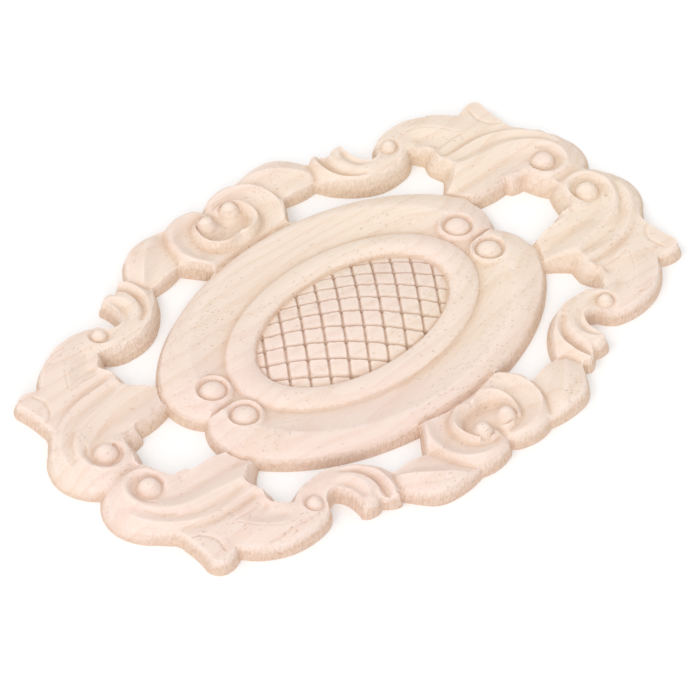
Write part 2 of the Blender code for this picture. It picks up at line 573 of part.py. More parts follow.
def tidy(points, edges, fixed_count):
    """Cross the lines, then draw together points that fall too close; the first ones stay."""
    vertices, crossed, _, _, sources, _ = delaunay_2d_cdt([Vector(p) for p in points], edges, [], 0, 1e-4)
    plan = np.array([tuple(v) for v in vertices])
    tree = KDTree(len(plan))
    for i, point in enumerate(plan):
        tree.insert((*point, 0.0), i)
    tree.balance()
    place = {}
    kept = []
    for i, point in enumerate(plan):
        if i in place:
            continue
        place[i] = len(kept)
        kept.append(point)
        for _, other, _ in tree.find_range((*point, 0.0), MERGE_REACH):
            if other >= fixed_count and other > i and other not in place:
                place[other] = place[i]
    lines = {(place[a], place[b]) for (a, b), source in zip(crossed, sources) if source}
    return kept, sorted(line for line in lines if line[0] != line[1])


def triangulate(points, edges, loops):
    """Triangles of the wood, from points, fixed edges and the loops that bound it."""
    vertices, _, faces, _, _, _ = delaunay_2d_cdt([Vector(p) for p in points], edges, [], 0, 1e-4)
    vertices = np.array([tuple(v) for v in vertices])
    middles = np.array([vertices[list(face)].mean(axis=0) for face in faces])
    keep = in_wood(middles, loops)
    return vertices, [list(face) for face, wanted in zip(faces, keep) if wanted]


def open_edges(faces):
    """Edges that belong to one triangle only."""
    edges = dict.fromkeys((a, b) for face in faces for a, b in zip(face, face[1:] + face[:1]))
    return [edge for edge in edges if (edge[1], edge[0]) not in edges]


def build_rosette():
    """The closed body: carved face, upright foot of the walls and flat back."""
    loops = boundary_loops()
    lines = inset_lines(loops) + carved_lines(loops)
    points = []
    edges = []

    def add_line(line, is_loop=False):
        first = len(points)
        points.extend(line)
        edges.extend((first + i, first + i + 1) for i in range(len(line) - 1))
        if is_loop:
            edges.append((len(points) - 1, first))

    for loop in loops:
        add_line(loop, is_loop=True)
    fixed_count = len(points)
    for line in lines + hatch_lines():
        add_line(line)
    points.extend(fill_points(loops, lines))
    points, edges = tidy(points, edges, fixed_count)
    plan, faces = triangulate(points, edges, loops)
    height = surface(plan, np.array(faces))
    rim = open_edges(faces)
    border = sorted({i for edge in rim for i in edge})
    place = {old: new for new, old in enumerate(border)}
    back_edges = [(place[a], place[b]) for a, b in rim]
    back_plan, back_faces = triangulate(list(plan[border]), back_edges, loops)
    if len(back_plan) != len(border):
        raise ValueError("the back gained points")
    height[border] = WALL_FOOT
    base = len(plan)
    vertices = [(x * MM, y * MM, z * MM) for (x, y), z in zip(plan, height)]
    vertices += [(x * MM, y * MM, 0.0) for x, y in plan[border]]
    polygons = faces + [[base + i for i in face[::-1]] for face in back_faces]
    polygons += [[b, a, base + place[a], base + place[b]] for a, b in rim]
    mesh = bpy.data.meshes.new("rosette")
    mesh.from_pydata(vertices, [], polygons)
    mesh.validate()
    mesh.shade_smooth()
    mesh.set_sharp_from_angle(angle=math.radians(SHARP_ANGLE))
    return bpy.data.objects.new("rosette", mesh)


def pale_wood():
    material = bpy.data.materials.new("pale rubberwood")
    material.use_nodes = True
    shader = material.node_tree.nodes["Principled BSDF"]
    shader.inputs["Base Color"].default_value = (0.80, 0.60, 0.45, 1.0)
    shader.inputs["Roughness"].default_value = 0.72
    shader.inputs["Metallic"].default_value = 0.0
    return material


for old in list(bpy.data.objects):
    bpy.data.objects.remove(old)
rosette = build_rosette()
rosette.data.materials.append(pale_wood())
bpy.context.scene.collection.objects.link(rosette)
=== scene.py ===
# Carved wooden rosette on a pale floor: an oval pierced onlay of pale rubberwood, lying on its flat back.
# The drawing is one quarter in millimetres, mirrored twice; only the crosshatch runs straight across.
import math

import bpy
import numpy as np
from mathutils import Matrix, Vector
from mathutils.geometry import delaunay_2d_cdt
from mathutils.kdtree import KDTree


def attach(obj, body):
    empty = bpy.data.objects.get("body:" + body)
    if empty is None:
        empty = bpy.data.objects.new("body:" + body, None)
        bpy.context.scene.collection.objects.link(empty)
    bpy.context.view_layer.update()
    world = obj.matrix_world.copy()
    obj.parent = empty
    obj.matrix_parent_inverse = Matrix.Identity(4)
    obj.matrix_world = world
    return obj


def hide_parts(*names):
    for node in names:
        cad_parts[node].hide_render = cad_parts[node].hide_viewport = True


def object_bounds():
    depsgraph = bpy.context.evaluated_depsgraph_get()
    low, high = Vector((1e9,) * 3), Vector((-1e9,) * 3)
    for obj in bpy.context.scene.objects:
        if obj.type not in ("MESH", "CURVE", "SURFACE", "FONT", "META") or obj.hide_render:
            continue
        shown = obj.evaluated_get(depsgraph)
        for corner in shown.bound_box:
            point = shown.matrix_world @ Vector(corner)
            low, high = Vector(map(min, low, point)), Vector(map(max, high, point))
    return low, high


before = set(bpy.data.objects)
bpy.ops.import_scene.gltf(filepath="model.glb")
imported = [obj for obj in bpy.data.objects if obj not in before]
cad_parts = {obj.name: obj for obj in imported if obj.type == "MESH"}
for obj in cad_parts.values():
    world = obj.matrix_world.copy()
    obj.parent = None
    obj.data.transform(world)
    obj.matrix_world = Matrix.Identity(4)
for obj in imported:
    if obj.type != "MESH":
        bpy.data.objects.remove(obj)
cad_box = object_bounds()
MM = 0.001

# oval shield, in millimetres: half sizes, heights and the shape of its ring, rim, cove and seam
OVAL = (95.0, 65.5)
RING_FOOT = (63.5, 40.7)
FIELD_EDGE = (48.5, 28.4)
FIELD_EDGE_HEIGHT = 6.1
FIELD_RISE = 6.5
RING_CREST_HEIGHT = 9.8
RING_FOOT_HEIGHT = 6.3
RING_LEAN = 0.85
RING_FULLNESS = 0.62
RIM_CREST = (76.5, 57.5)
RIM_CREST_HEIGHT = 9.4
BEVEL_POWER = 1.9
COVE_POWER = 1.45
OVAL_SEAM_HEIGHT = 6.4
OVAL_SEAM_RISE = 1.5
OVAL_SEAM_START = 66.0
OVAL_ARCS_TOP = 21.0
# side walls: height of the upright foot, top edge of the oval's wall and how far it stands in
WALL_FOOT = 0.8
OVAL_WALL_EDGE = 5.4
OVAL_WALL_INSET = 2.0
# carved skin of the wreath, held along its walls, creases and eyes
SWELL = 0.035
SWELL_FADE = 1.5
SKIN_ROUNDS = 700
PULL_RANGE = (0.02, 8.0)
WALL_REACH = 0.12
CREASE_REACH = 0.2
EYE_REACH = 0.25
LEAF_OVER_OVAL = 1.5
OVERLAP = 5.0
# rounding of the skin: passes, and how far a pass moves the open skin, a crisp crease, a soft one and an eye
ROUNDING_PASSES = 8
SKIN_GIVE = 0.3
CRISP_GIVE = 0.04
SOFT_GIVE = 0.56
EYE_GIVE = 0.06
# crosshatch: steps between its crossings, its grooves and pits, how they wander and how far they reach
HATCH_ALONG = (6.5, -5.5)
HATCH_ACROSS = (4.9, 6.7)
HATCH_START = (3.0, -1.8)
GROOVE_DEPTH = 1.3
GROOVE_HALF_WIDTH = 0.78
GROOVE_ROUND = 0.6
PIT_DEPTH = 1.0
PIT_RADIUS = 1.1
WOBBLE = 0.5
WOBBLE_SCALE = 210.0
HATCH_LINES = 8
HATCH_REACH = 60
HATCH_EDGE = 0.995
# how strongly a groove and a pit are painted with shade
GROOVE_SHADE_SHARE = 0.55
PIT_SHADE_SHARE = 0.7
# spacing of the mesh, points of the seams on the axes, and the clear space that lines and fill keep
EDGE_STEP = 0.9
LINE_STEP = 1.0
WREATH_STEP = 0.72
OVAL_STEP = 1.15
FIELD_STEP = 0.62
FIELD_BORDER_STEP = FIELD_STEP * 1.5
FIELD_FILL_STEP = FIELD_STEP * 1.3
FIELD_BOX = (50, 30)
FIELD_LINES_EDGE = 0.97
VOLUTE_SEAM_POINTS = 25
SHELL_SEAM_POINTS = 75
OVAL_SEAM_POINTS = 40
INSET_SHARE = 0.93
WALL_CLEARANCE = 0.25
LINE_CLEARANCE = 0.4
FILL_SHARE = 0.6
MERGE_REACH = 0.3
SHARP_ANGLE = 24.0
# values that count as none, decimals by which corners are told apart, and a distance past everything
STRAIGHT = 0.05
ON_OUTLINE = 1e-3
CROSSING_REACH = 1e-4
AXIS_REACH = 1e-5
NEARLY_ZERO = 1e-6
TINY = 1e-9
PLACE_DIGITS = 4
FAR = 1e9
# marks of the relief: name, rounds of smoothing, depth that counts as one; heights of the back and front
# the crease and hollow marks set where shade is painted into the wood's colour, and the crease mark also
# where a highlight is painted
RELIEF_MARKS = (("crease", 6, 0.35), ("hollow", 90, 1.6))
BACK_HEIGHT = 0.1
FRONT_HEIGHT = 3.0
# colours of the bare wood, with painted shade for hollows, creases and hatch grooves and a painted highlight
# for crests
PINK_CREAM = (0.820, 0.672, 0.605, 1.0)
YELLOW_CREAM = (0.825, 0.705, 0.595, 1.0)
LATE_WOOD = (0.90, 0.80, 0.72, 1.0)
STREAK = (0.93, 0.86, 0.79, 1.0)
# painted shade for hollows and creases, also standing for the tan of deep hollows
HOLLOW_SHADE = (0.85, 0.77, 0.68, 1.0)
# painted highlight along the crests
CREST_HIGHLIGHT = (0.90, 0.77, 0.71, 1.0)
WALL_TAN = (0.96, 0.92, 0.86, 1.0)
RIDGE_TAN = (0.84, 0.74, 0.60, 1.0)
# painted shade in the hatch grooves and pits
GROOVE_SHADE = (0.58, 0.48, 0.42, 1.0)
PORE = (0.62, 0.46, 0.36, 1.0)
# yellow share of the cream from the near left to the far right, and what the tone adds to it
WARM_ACROSS = (-150.0, 170.0)
WARM_SHARE = (0.15, 0.85)
TONE_TINT = 0.7
# strength of each tint over the cream, and the range of its mark over which it grows
RING_TINT = 0.32
STREAK_TINT = 0.5
# painted shade in the hollows, partly the tan of deep cuts, and painted shade in the creases
HOLLOW_SHADE_TINT = 0.28
HOLLOW_SHADE_RANGE = (-0.05, 0.9)
CREASE_SHADE_TINT = 0.45
CREASE_SHADE_RANGE = (0.08, 0.8)
# painted highlight on the crests
CREST_HIGHLIGHT_TINT = 0.2
CREST_HIGHLIGHT_RANGE = (-0.1, -0.7)
WALL_TINT = 0.12
WALL_RANGE = (0.2, 0.75)
# painted shade in the hatch grooves and pits
GROOVE_SHADE_TINT = 0.55
RIDGE_TINT = 0.3
PORE_TINT = 0.42
# finish: roughness and what the streaks add to it, then how far streaks, pores and ridges are raised
ROUGHNESS = 0.66
STREAK_ROUGHNESS = 0.12
STREAK_RELIEF = -0.25
PORE_RELIEF = -0.8
RIDGE_RELIEF = -1.2
# grain: patches of tone, how far they bend it, its rings round the log's heart, its streaks and its pores
TONE_PATCHES = (0.006, 0.022, 0.03)
TONE_RANGE = (0.33, 0.67)
GRAIN_BEND = (0.0, 46.0, 30.0)
FROM_HEART = (0.0, 150.0, 90.0)
HEART_STRETCH = (0.02, 1.0, 1.6)
LATE_RISE = (0.45, 0.93)
LATE_END = (1.0, 0.95)
STREAK_STRETCH = 0.045
STREAK_RANGE = (0.28, 0.72)
PORE_CELL = 0.34
PORE_SPOT = (0.24, 0.1)
PORE_PATCHES = (0.02, 0.06, 0.06)
PORE_PATCH_RANGE = (0.42, 0.72)
PORE_SHARE = (0.06, 0.9)
# cutter ridges: how the pattern is drawn out upwards, its range and the steepness where it shows
RIDGE_STRETCH = (1.0, 1.0, 0.02)
RIDGE_RANGE = (0.4, 0.66)
RIDGE_STEEPNESS = (0.25, 0.7)
# light
SURROUND_LIGHT = 0.89
LAMP_LIGHT = 0.64
LAMP_SPREAD = 28.0
LAMP_TILT = 38.0
LAMP_TURN = -100.0
FILL_LIGHT = 0.66
FILL_TILT = 62.0
# camera, in degrees, metres and millimetres of lens
CAMERA_AZIMUTH = -43.65
CAMERA_ELEVATION = 45.3
CAMERA_DISTANCE = 1.963
CAMERA_AIM = (-0.0083, -0.0068, 0.0)
LENS = 240.7

# outline stations: across, up, and how far the arc arriving there swells away from the wood
VOLUTE = [(141.6, 0.0, 0.0), (149.7, 16.5, 2.0), (141.0, 33.6, 2.1), (136.2, 38.8, 0.1)]
LEAF_TIP = [(135.0, 44.0, -0.5), (136.0, 58.0, -0.5), (131.5, 64.4, 1.4), (122.0, 62.4, 1.0)]
LOWER_LOBE = [(97.0, 76.4, 3.4), (84.0, 74.8, 0.7)]
HOOK_THROAT = [(78.7, 69.8, 0.6), (73.2, 66.2, -1.2), (70.6, 74.0, -0.9), (71.5, 80.3, -0.3)]
HOOK_TIPS = [(67.0, 83.0, 0.7), (62.0, 82.1, 0.5), (56.0, 86.2, 0.5), (53.0, 84.7, 0.5)]
BUD = [(46.0, 94.5, 0.3), (36.0, 98.6, 1.0), (20.0, 97.5, 0.8)]
SHELL = [(5.0, 97.7, 1.4), (0.0, 94.3, 0.7)]
OVAL_END = [(84.6, 0.0, 0.0), (89.6, 11.5, 0.9), (89.6, 16.8, 0.1)]
END_GAP_LEAF = [(106.0, 14.9, 0.9), (107.2, 12.6, 0.2), (113.0, 11.3, 0.4), (117.5, 0.0, 0.5)]
SIDE_GAP_BUD = [(22.7, 63.6, 0.0), (31.0, 74.5, 0.3), (46.6, 72.5, 0.9)]
SIDE_GAP_HOOK = [(60.0, 56.2, 1.6), (78.0, 51.6, 1.8), (89.6, 56.8, 1.4)]
SIDE_GAP_LEAF = [(92.4, 51.4, 0.0), (90.0, 45.5, 0.4), (91.6, 39.0, 0.1), (83.4, 31.36, -0.3)]

# ridges and valleys of the carving: softness from 0, crisp, to 1, then stations across, up and height
CREASES = {
    "inner hollow": (0.9, [
        (85, 26.5, 4.6), (90, 26.2, 4.8), (98, 25.6, 5.2), (107, 25.4, 5.6), (116, 25, 6.0),
        (122, 23.8, 6.6), (126.8, 21.4, 7.4)]),
    "main crest": (0.15, [
        (92.5, 33.4, 9.4), (97, 35.8, 10.1), (103, 34.8, 9.9), (110, 33.4, 9.7), (118, 32.4, 9.7),
        (126, 29.8, 9.8), (132, 25.4, 10.0), (136, 19.5, 10.3), (137, 12.5, 10.5), (134.6, 6.4, 10.5),
        (130.3, 3.4, 10.4), (125.4, 3.4, 10.3), (121.8, 5.8, 10.1), (119.8, 9.8, 9.9), (119.8, 13.8, 9.4),
        (121.2, 17, 8.4)]),
    "cove": (0.5, [
        (99.5, 38.7, 7.8), (104, 38.3, 7.2), (112, 37.9, 6.9), (120, 36.6, 6.9), (127, 33.5, 7.0),
        (132.5, 28.8, 7.1), (136.8, 23.2, 7.4), (139.2, 17.5, 7.7)]),
    "outer rib": (0.1, [
        (96.6, 42.9, 9.4), (99.5, 42.8, 9.3), (104, 42.9, 9.1), (111, 42.9, 9.0), (119, 41.8, 8.9),
        (126, 39.1, 8.8), (131.5, 35.2, 8.7), (136.8, 30, 8.6), (140.4, 24, 8.3), (142, 18, 7.6)]),
    "rib groove": (0.3, [
        (98.5, 45.6, 6.4), (104, 45.3, 6.2), (112, 45.1, 6.2), (120, 43.9, 6.3), (126.4, 41.6, 6.5),
        (131, 38.8, 6.9)]),
    "third lobe": (0.8, [
        (96.4, 47.8, 8.2), (101, 48.5, 8.2), (108, 48.8, 8.2), (116, 48.2, 8.0), (123, 46.6, 7.6)]),
    "notch hollow": (0.7, [
        (98, 52.6, 6.0), (101.5, 53.2, 6.6), (105, 53.4, 7.4)]),
    "low leaf hollow": (1.0, [
        (96, 61.5, 6.4), (101, 58.3, 6.8), (107, 54.5, 7.3)]),
    "low leaf rib": (0.3, [
        (114.5, 50, 8.2), (111.5, 55, 8.7), (108, 59.7, 9.1), (104.3, 63.4, 9.3), (99.5, 66.6, 9.2),
        (94, 68.2, 8.6)]),
    "eye end ridge": (0.4, [
        (112.5, 14.5, 7.0), (114.5, 18, 7.2), (119.5, 20.6, 7.2)]),
    "volute seam": (0.5, [
        (117.6, 0, 5.0), (124, 0, 6.6), (131, 0, 7.0), (136.5, 0, 6.4), (141.4, 0, 3.6)]),
    "leaf tip": (1.0, [
        (131, 47, 7.3), (130, 57, 7.3)]),
    "hook outer lip": (0.0, [
        (55.9, 83.6, 8.6), (54.5, 80.5, 9.3), (53.8, 76, 9.8), (54, 71, 9.8), (55.6, 66.6, 9.6),
        (58.6, 62.8, 9.5), (62.2, 60.2, 9.3), (66.5, 58.4, 9.1)]),
    "hook groove": (0.2, [
        (58.8, 83.2, 4.6), (57.6, 79, 4.8), (57, 74.5, 5.2), (57.2, 70, 5.6), (58.8, 66, 6.2),
        (61.6, 62.8, 7.2), (65.2, 60.3, 8.0)]),
    "hook crest": (0.2, [
        (61.8, 80.4, 8.8), (60, 77.6, 9.5), (59.4, 74, 9.9), (59.9, 70, 10.0), (61.6, 66.3, 10.0),
        (64.6, 63, 9.9), (68.8, 60.4, 9.7), (74.5, 58.8, 9.6), (80.5, 58.6, 9.6), (86, 60.2, 9.6),
        (89, 64, 9.5), (88.4, 68.6, 9.1), (85, 71.2, 8.4)]),
    "hook scoop edge": (0.1, [
        (68.6, 79.6, 9.4), (65.6, 78.6, 9.8), (63.4, 75.4, 10.1), (62.7, 71.2, 10.2), (63.6, 67.4, 10.1),
        (66.2, 64.6, 9.9), (70.5, 62.6, 9.7), (76, 61.6, 9.4)]),
    "hook scoop": (0.5, [
        (67.4, 77, 7.8), (66.2, 73, 7.2), (66.6, 69.2, 7.2), (68.8, 66, 7.5), (72.6, 64, 8.2)]),
    "bud rib": (0.1, [
        (48.3, 77.8, 8.0), (45, 81.2, 9.4), (41.4, 85.2, 10.2), (38, 88.3, 10.4), (34.5, 90.8, 10.2),
        (30.8, 93, 9.2), (27.4, 94.8, 7.6)]),
    "bud hollow": (1.0, [
        (46.5, 77, 6.2), (41, 79.8, 6.6), (35.5, 83, 6.9), (31, 86.5, 7.0)]),
    "hook to bud": (0.1, [
        (47.6, 73.4, 4.4), (50, 76.8, 5.4), (51.5, 80.3, 5.6), (52.5, 83.4, 5.0)]),
    "bud to shell": (0.1, [
        (30.2, 75.8, 5.0), (28.5, 80, 5.6), (27.4, 85, 5.8), (25.3, 90, 5.8), (22, 95, 5.4)]),
    "shell rim": (0.1, [
        (21, 65, 9.2), (22.9, 68.2, 9.6), (24.9, 71.8, 9.8), (26.3, 76, 10.0), (26.4, 80.5, 10.1),
        (25.2, 85.5, 10.2), (22.4, 89.7, 10.1), (17.6, 93, 9.8), (11, 94.9, 9.2), (5.5, 94.2, 8.4),
        (2, 92.6, 7.2)]),
    "shell cove": (0.8, [
        (16, 66.6, 7.2), (19.4, 70.8, 7.0), (21.3, 76, 7.0), (21.4, 81.5, 7.1), (19.2, 86.6, 7.3),
        (14.5, 90.6, 7.6), (9, 92.2, 7.6)]),
    "shell groove": (0.1, [
        (0, 65.5, 6.4), (4, 65.7, 6.2), (8.6, 66.9, 6.0), (12.6, 69.6, 5.9), (15.4, 73.6, 5.9),
        (16.4, 78.5, 6.0), (15.5, 83.5, 6.2), (13, 87.5, 6.4), (8.6, 90.2, 6.6), (3, 90.6, 6.2)]),
    "shell lip": (0.0, [
        (1.2, 70.6, 9.8), (3.4, 69, 10.8), (6.5, 68.6, 11.4), (10, 70, 11.3), (12.9, 73.4, 10.9),
        (14, 78, 10.6), (13.2, 82.8, 10.6), (11.2, 86.3, 10.4), (7.8, 88.6, 10.0), (4, 88.8, 9.2),
        (1.6, 87.4, 8.0)]),
    "shell cup": (0.5, [
        (0, 73.6, 4.2), (3.5, 73.6, 4.0), (7.5, 75, 4.2), (10.4, 78.4, 5.2), (11.6, 82, 6.8)]),
    "shell seam": (0.1, [
        (0, 77, 5.4), (0, 94, 5.4)]),
}
# shallow lines cut into the finished skin: depth, then stations across, up and half width
STROKES = {
    "tip line": (0.55, [
        (133.5, 43.5, 0.6), (128.3, 46.5, 1.1), (125.6, 52.5, 1.2), (126.8, 59, 0.7)]),
    "upper arc": (0.35, [
        (110.5, 68.4, 0.5), (105.5, 69.6, 0.9), (99.5, 69.4, 0.5)]),
    "lower arc": (0.45, [
        (111, 70.4, 0.5), (105.5, 71.8, 1.0), (99, 71.6, 0.5)]),
    "lobe line": (0.4, [
        (100, 50.6, 0.5), (107, 50.9, 0.9), (113, 50.2, 0.5)]),
    "volute line": (0.3, [
        (128.5, 31.2, 0.5), (133.4, 27, 0.8), (136.8, 21.5, 0.5)]),
    "volute ring": (0.7, [
        (121.0, 15.2, 0.3), (120.9, 11.2, 0.9), (122.6, 8.0, 1.1), (125.6, 6.4, 1.3), (129.6, 6.3, 1.5),
        (132.8, 8.8, 1.7), (134.2, 13, 1.8), (133, 18.2, 1.8), (130.4, 21.4, 0.8)]),
    "leaf line": (0.4, [
        (113.5, 51.5, 0.3), (110.3, 56.6, 0.7), (106.6, 61.6, 0.8), (101.5, 65.6, 0.7), (96, 67.4, 0.3)]),
    "bud line": (0.3, [
        (44, 88.5, 0.5), (39, 92.2, 0.9), (33.5, 94.6, 0.5)]),
}
# places where the skin bulges more or less than elsewhere: centre, reach, swell
SWELLS = [((131, 52), 12, 0.0), ((104, 52), 12, 0.005), ((20, 80), 9, -0.03), ((57, 74), 6, -0.05),
          ((66, 70), 6, -0.03), ((112, 29), 8, 0.045), ((112, 37), 4, -0.02), ((5, 77), 6, -0.05)]
# side walls at places round the outline: across, up, height of the top edge, how far it stands in
EDGE_STATIONS = [
    (141.6, 0, 4.6, 2.4), (147, 8, 4.0, 3.0), (149.7, 16.5, 3.6, 3.2), (147, 26, 4.6, 3.0),
    (141, 33.6, 6.0, 2.4), (136.2, 38.8, 6.8, 2.4), (135, 46, 7.2, 2.4), (136, 58, 7.2, 2.4),
    (131.5, 64.4, 7.0, 2.2), (122, 62.4, 6.8, 2.2), (110, 71.5, 6.8, 2.1), (97, 76.4, 7.2, 2.0),
    (84, 74.8, 6.8, 1.9), (78.7, 69.8, 8.0, 1.6), (73.2, 66.2, 8.8, 1.7), (70.6, 74, 9.0, 2.1),
    (71.5, 80.3, 9.2, 2.3), (65, 82.6, 8.4, 2.0), (61, 82.5, 6.2, 1.5), (56.5, 86, 7.8, 1.6),
    (53, 84.7, 6.0, 1.6), (46, 94.5, 7.0, 2.0), (36, 98.6, 7.0, 2.0), (22, 97.8, 6.0, 1.8),
    (16, 98.3, 7.2, 2.0), (5, 97.7, 7.2, 2.0), (0, 94.3, 5.4, 1.6), (117.5, 2, 9.2, 4.2),
    (115, 7, 9.7, 4.8), (113, 11.3, 9.4, 4.8), (108, 12.4, 8.4, 3.4), (106, 14.9, 8.6, 3.2),
    (98, 17, 8.2, 2.9), (91, 17, 7.2, 2.6), (23, 64, 8.8, 1.8), (25.5, 67.5, 9.1, 1.9),
    (28, 71, 9.1, 2.0), (31, 74.5, 5.4, 1.4), (37, 75.3, 6.4, 1.8), (46.6, 72.5, 5.4, 1.5),
    (50, 66.5, 7.8, 2.4), (57, 59.5, 8.8, 3.1), (66, 54.8, 9.0, 3.5), (78, 51.6, 9.1, 3.9),
    (86, 54, 9.0, 3.4), (89.6, 56.8, 8.0, 2.3), (92.4, 51.4, 9.2, 4.6), (91, 48.5, 9.6, 5.0),
    (90, 45.5, 9.8, 5.2), (90.6, 42, 9.9, 5.4), (91.6, 39, 9.9, 5.4), (89, 36, 9.5, 4.8),
    (86, 33.5, 8.2, 3.6), (83.4, 31.4, 5.8, 2.3)]
EDGE_STATIONS += [(across, up, OVAL_WALL_EDGE, OVAL_WALL_INSET) for across, up in (
    (80, 35.3), (70, 44.3), (55, 53.4), (40, 59.4), (30, 62.1), (84.6, 0), (88, 6), (89.6, 12))]
# how sharply one station gives way to the next, and how close to it its value holds
EDGE_BLEND = 4
EDGE_SOFTNESS = 0.5
# eyes: centre, radius of the bead, height of its top, drop to its foot
EYES = {
    "oval eye": ((71.0, 9.7), 5.9, 10.2, 3.0),
    "volute eye": ((126.8, 13.2), 5.5, 11.8, 4.8),
    "hook eye": ((84.2, 65.7), 3.7, 11.2, 3.8),
    "shell eye": ((6.7, 84.1), 4.5, 12.0, 4.6),
}
WREATH_EYES = ("volute eye", "hook eye", "shell eye")
# roundness of a bead and of a cut line
EYE_DOME = 2.4
STROKE_ROUND = 1.2
# thin lip round the oval's eye: its distance, its drop below the bead and its outer slope
EYE_LIP = 1.5
EYE_LIP_DROP = 0.9
EYE_FALL = 1.5


def arc(start, end, swell):
    """Points after the start, up to the end, on the circle whose middle stands swell to the right."""
    start = np.array(start)
    chord = np.array(end) - start
    length = math.hypot(*chord)
    count = max(1, round((length + abs(swell)) / EDGE_STEP))
    right = np.array([chord[1], -chord[0]]) / length
    if abs(swell) < STRAIGHT:
        return [start + chord * i / count for i in range(1, count + 1)]
    angle = 4 * math.atan(2 * swell / length)
    radius = length / (2 * math.sin(angle / 2))
    middle = start + chord / 2
    points = []
    for i in range(1, count + 1):
        turn = angle * (i / count - 0.5)
        points.append(middle + chord / length * radius * math.sin(turn)
                      + right * radius * (math.cos(turn) - math.cos(angle / 2)))
    return points


def run(stations):
    """A polyline through stations joined by arcs."""
    points = [np.array(stations[0][:2])]
    for across, up, swell in stations[1:]:
        points += arc(points[-1], (across, up), swell)
    return points


def ellipse_run(half, first, last, step):
    """Points of an ellipse's first quarter, between two angles."""
    count = max(2, round(abs(last - first) * (half[0] + half[1]) / 2 / step))
    angles = np.linspace(first, last, count + 1)
    return [np.array([half[0] * math.cos(a), half[1] * math.sin(a)]) for a in angles]


def smooth_run(stations, step):
    """A smooth curve through its stations; every value of a station is carried along."""
    knots = [np.array(s, float) for s in stations]
    knots = [2 * knots[0] - knots[1]] + knots + [2 * knots[-1] - knots[-2]]
    points = [knots[1]]
    for a, b, c, d in zip(knots, knots[1:], knots[2:], knots[3:]):
        count = max(1, round(math.hypot(*(c - b)[:2]) / step))
        for i in range(1, count + 1):
            t = i / count
            points.append(0.5 * (2 * b + (c - a) * t + (2 * a - 5 * b + 4 * c - d) * t * t
                                 + (3 * b - a - 3 * c + d) * t ** 3))
    return points


def nearest(points, line):
    """Distance from each point to a polyline, and the third value there."""
    best = np.full(len(points), FAR)
    value = np.zeros(len(points))
    for a, b in zip(line, line[1:]):
        span = b[:2] - a[:2]
        along = np.clip(((points - a[:2]) @ span) / (span @ span), 0, 1)
        gap = points - a[:2] - along[:, None] * span
        away = np.hypot(gap[:, 0], gap[:, 1])
        closer = away < best
        best = np.where(closer, away, best)
        if len(a) > 2:
            value = np.where(closer, a[2] + along * (b[2] - a[2]), value)
    return best, value


def distance(points, line):
    """Distance from each point to a polyline."""
    return nearest(points, line)[0]


def inside(points, loop):
    """Which points lie inside a closed loop."""
    result = np.zeros(len(points), bool)
    for a, b in zip(loop, loop[1:] + loop[:1]):
        if a[1] == b[1]:
            continue
        crosses = (points[:, 1] < a[1]) != (points[:, 1] < b[1])
        at = a[0] + (points[:, 1] - a[1]) * (b[0] - a[0]) / (b[1] - a[1])
        result ^= crosses & (points[:, 0] < at)
    return result


SIDE_ANGLES = [math.atan2(p[1] / OVAL[1], p[0] / OVAL[0]) for p in (SIDE_GAP_LEAF[-1], SIDE_GAP_BUD[0])]
OUTER = run(VOLUTE + LEAF_TIP + LOWER_LOBE + HOOK_THROAT + HOOK_TIPS + BUD + SHELL)
END_GAP = run(OVAL_END + END_GAP_LEAF)
SIDE_GAP = run(SIDE_GAP_BUD + SIDE_GAP_HOOK + SIDE_GAP_LEAF)
SIDE_GAP += ellipse_run(OVAL, SIDE_ANGLES[0], SIDE_ANGLES[1], EDGE_STEP)[1:-1]
OVAL_OUTLINE = run(OVAL_END) + ellipse_run(OVAL, math.asin(OVAL_ARCS_TOP / OVAL[1]), math.pi / 2, EDGE_STEP)
QUARTER_EDGES = [OUTER, END_GAP, SIDE_GAP + SIDE_GAP[:1]]
# corners that close the oval's quarter a little beyond both axes
PAST_MIDDLE = [np.array(corner) for corner in ((-1.0, OVAL[1]), (-1.0, -1.0), (OVAL_END[0][0], -1.0))]


def edge_gap(points):
    """Distance from each point to the nearest side wall of the quarter."""
    return np.min([distance(points, line) for line in QUARTER_EDGES], axis=0)


def ellipse_share(points, half):
    """0 in the middle of an ellipse, 1 on its edge and more beyond."""
    return (points[:, 0] / half[0]) ** 2 + (points[:, 1] / half[1]) ** 2


def dome_height(points):
    """Height of the domed field, before the crosshatch."""
    return FIELD_EDGE_HEIGHT + FIELD_RISE * (1 - ellipse_share(points, FIELD_EDGE))


def span_place(points, inner, outer):
    """0 on the inner ellipse, 1 on the outer, measured straight out from the middle."""
    away = np.maximum(np.hypot(points[:, 0], points[:, 1]), NEARLY_ZERO)
    way = points / away[:, None]
    near, far = (1 / np.sqrt(ellipse_share(way, half)) for half in (inner, outer))
    return (away - near) / (far - near)


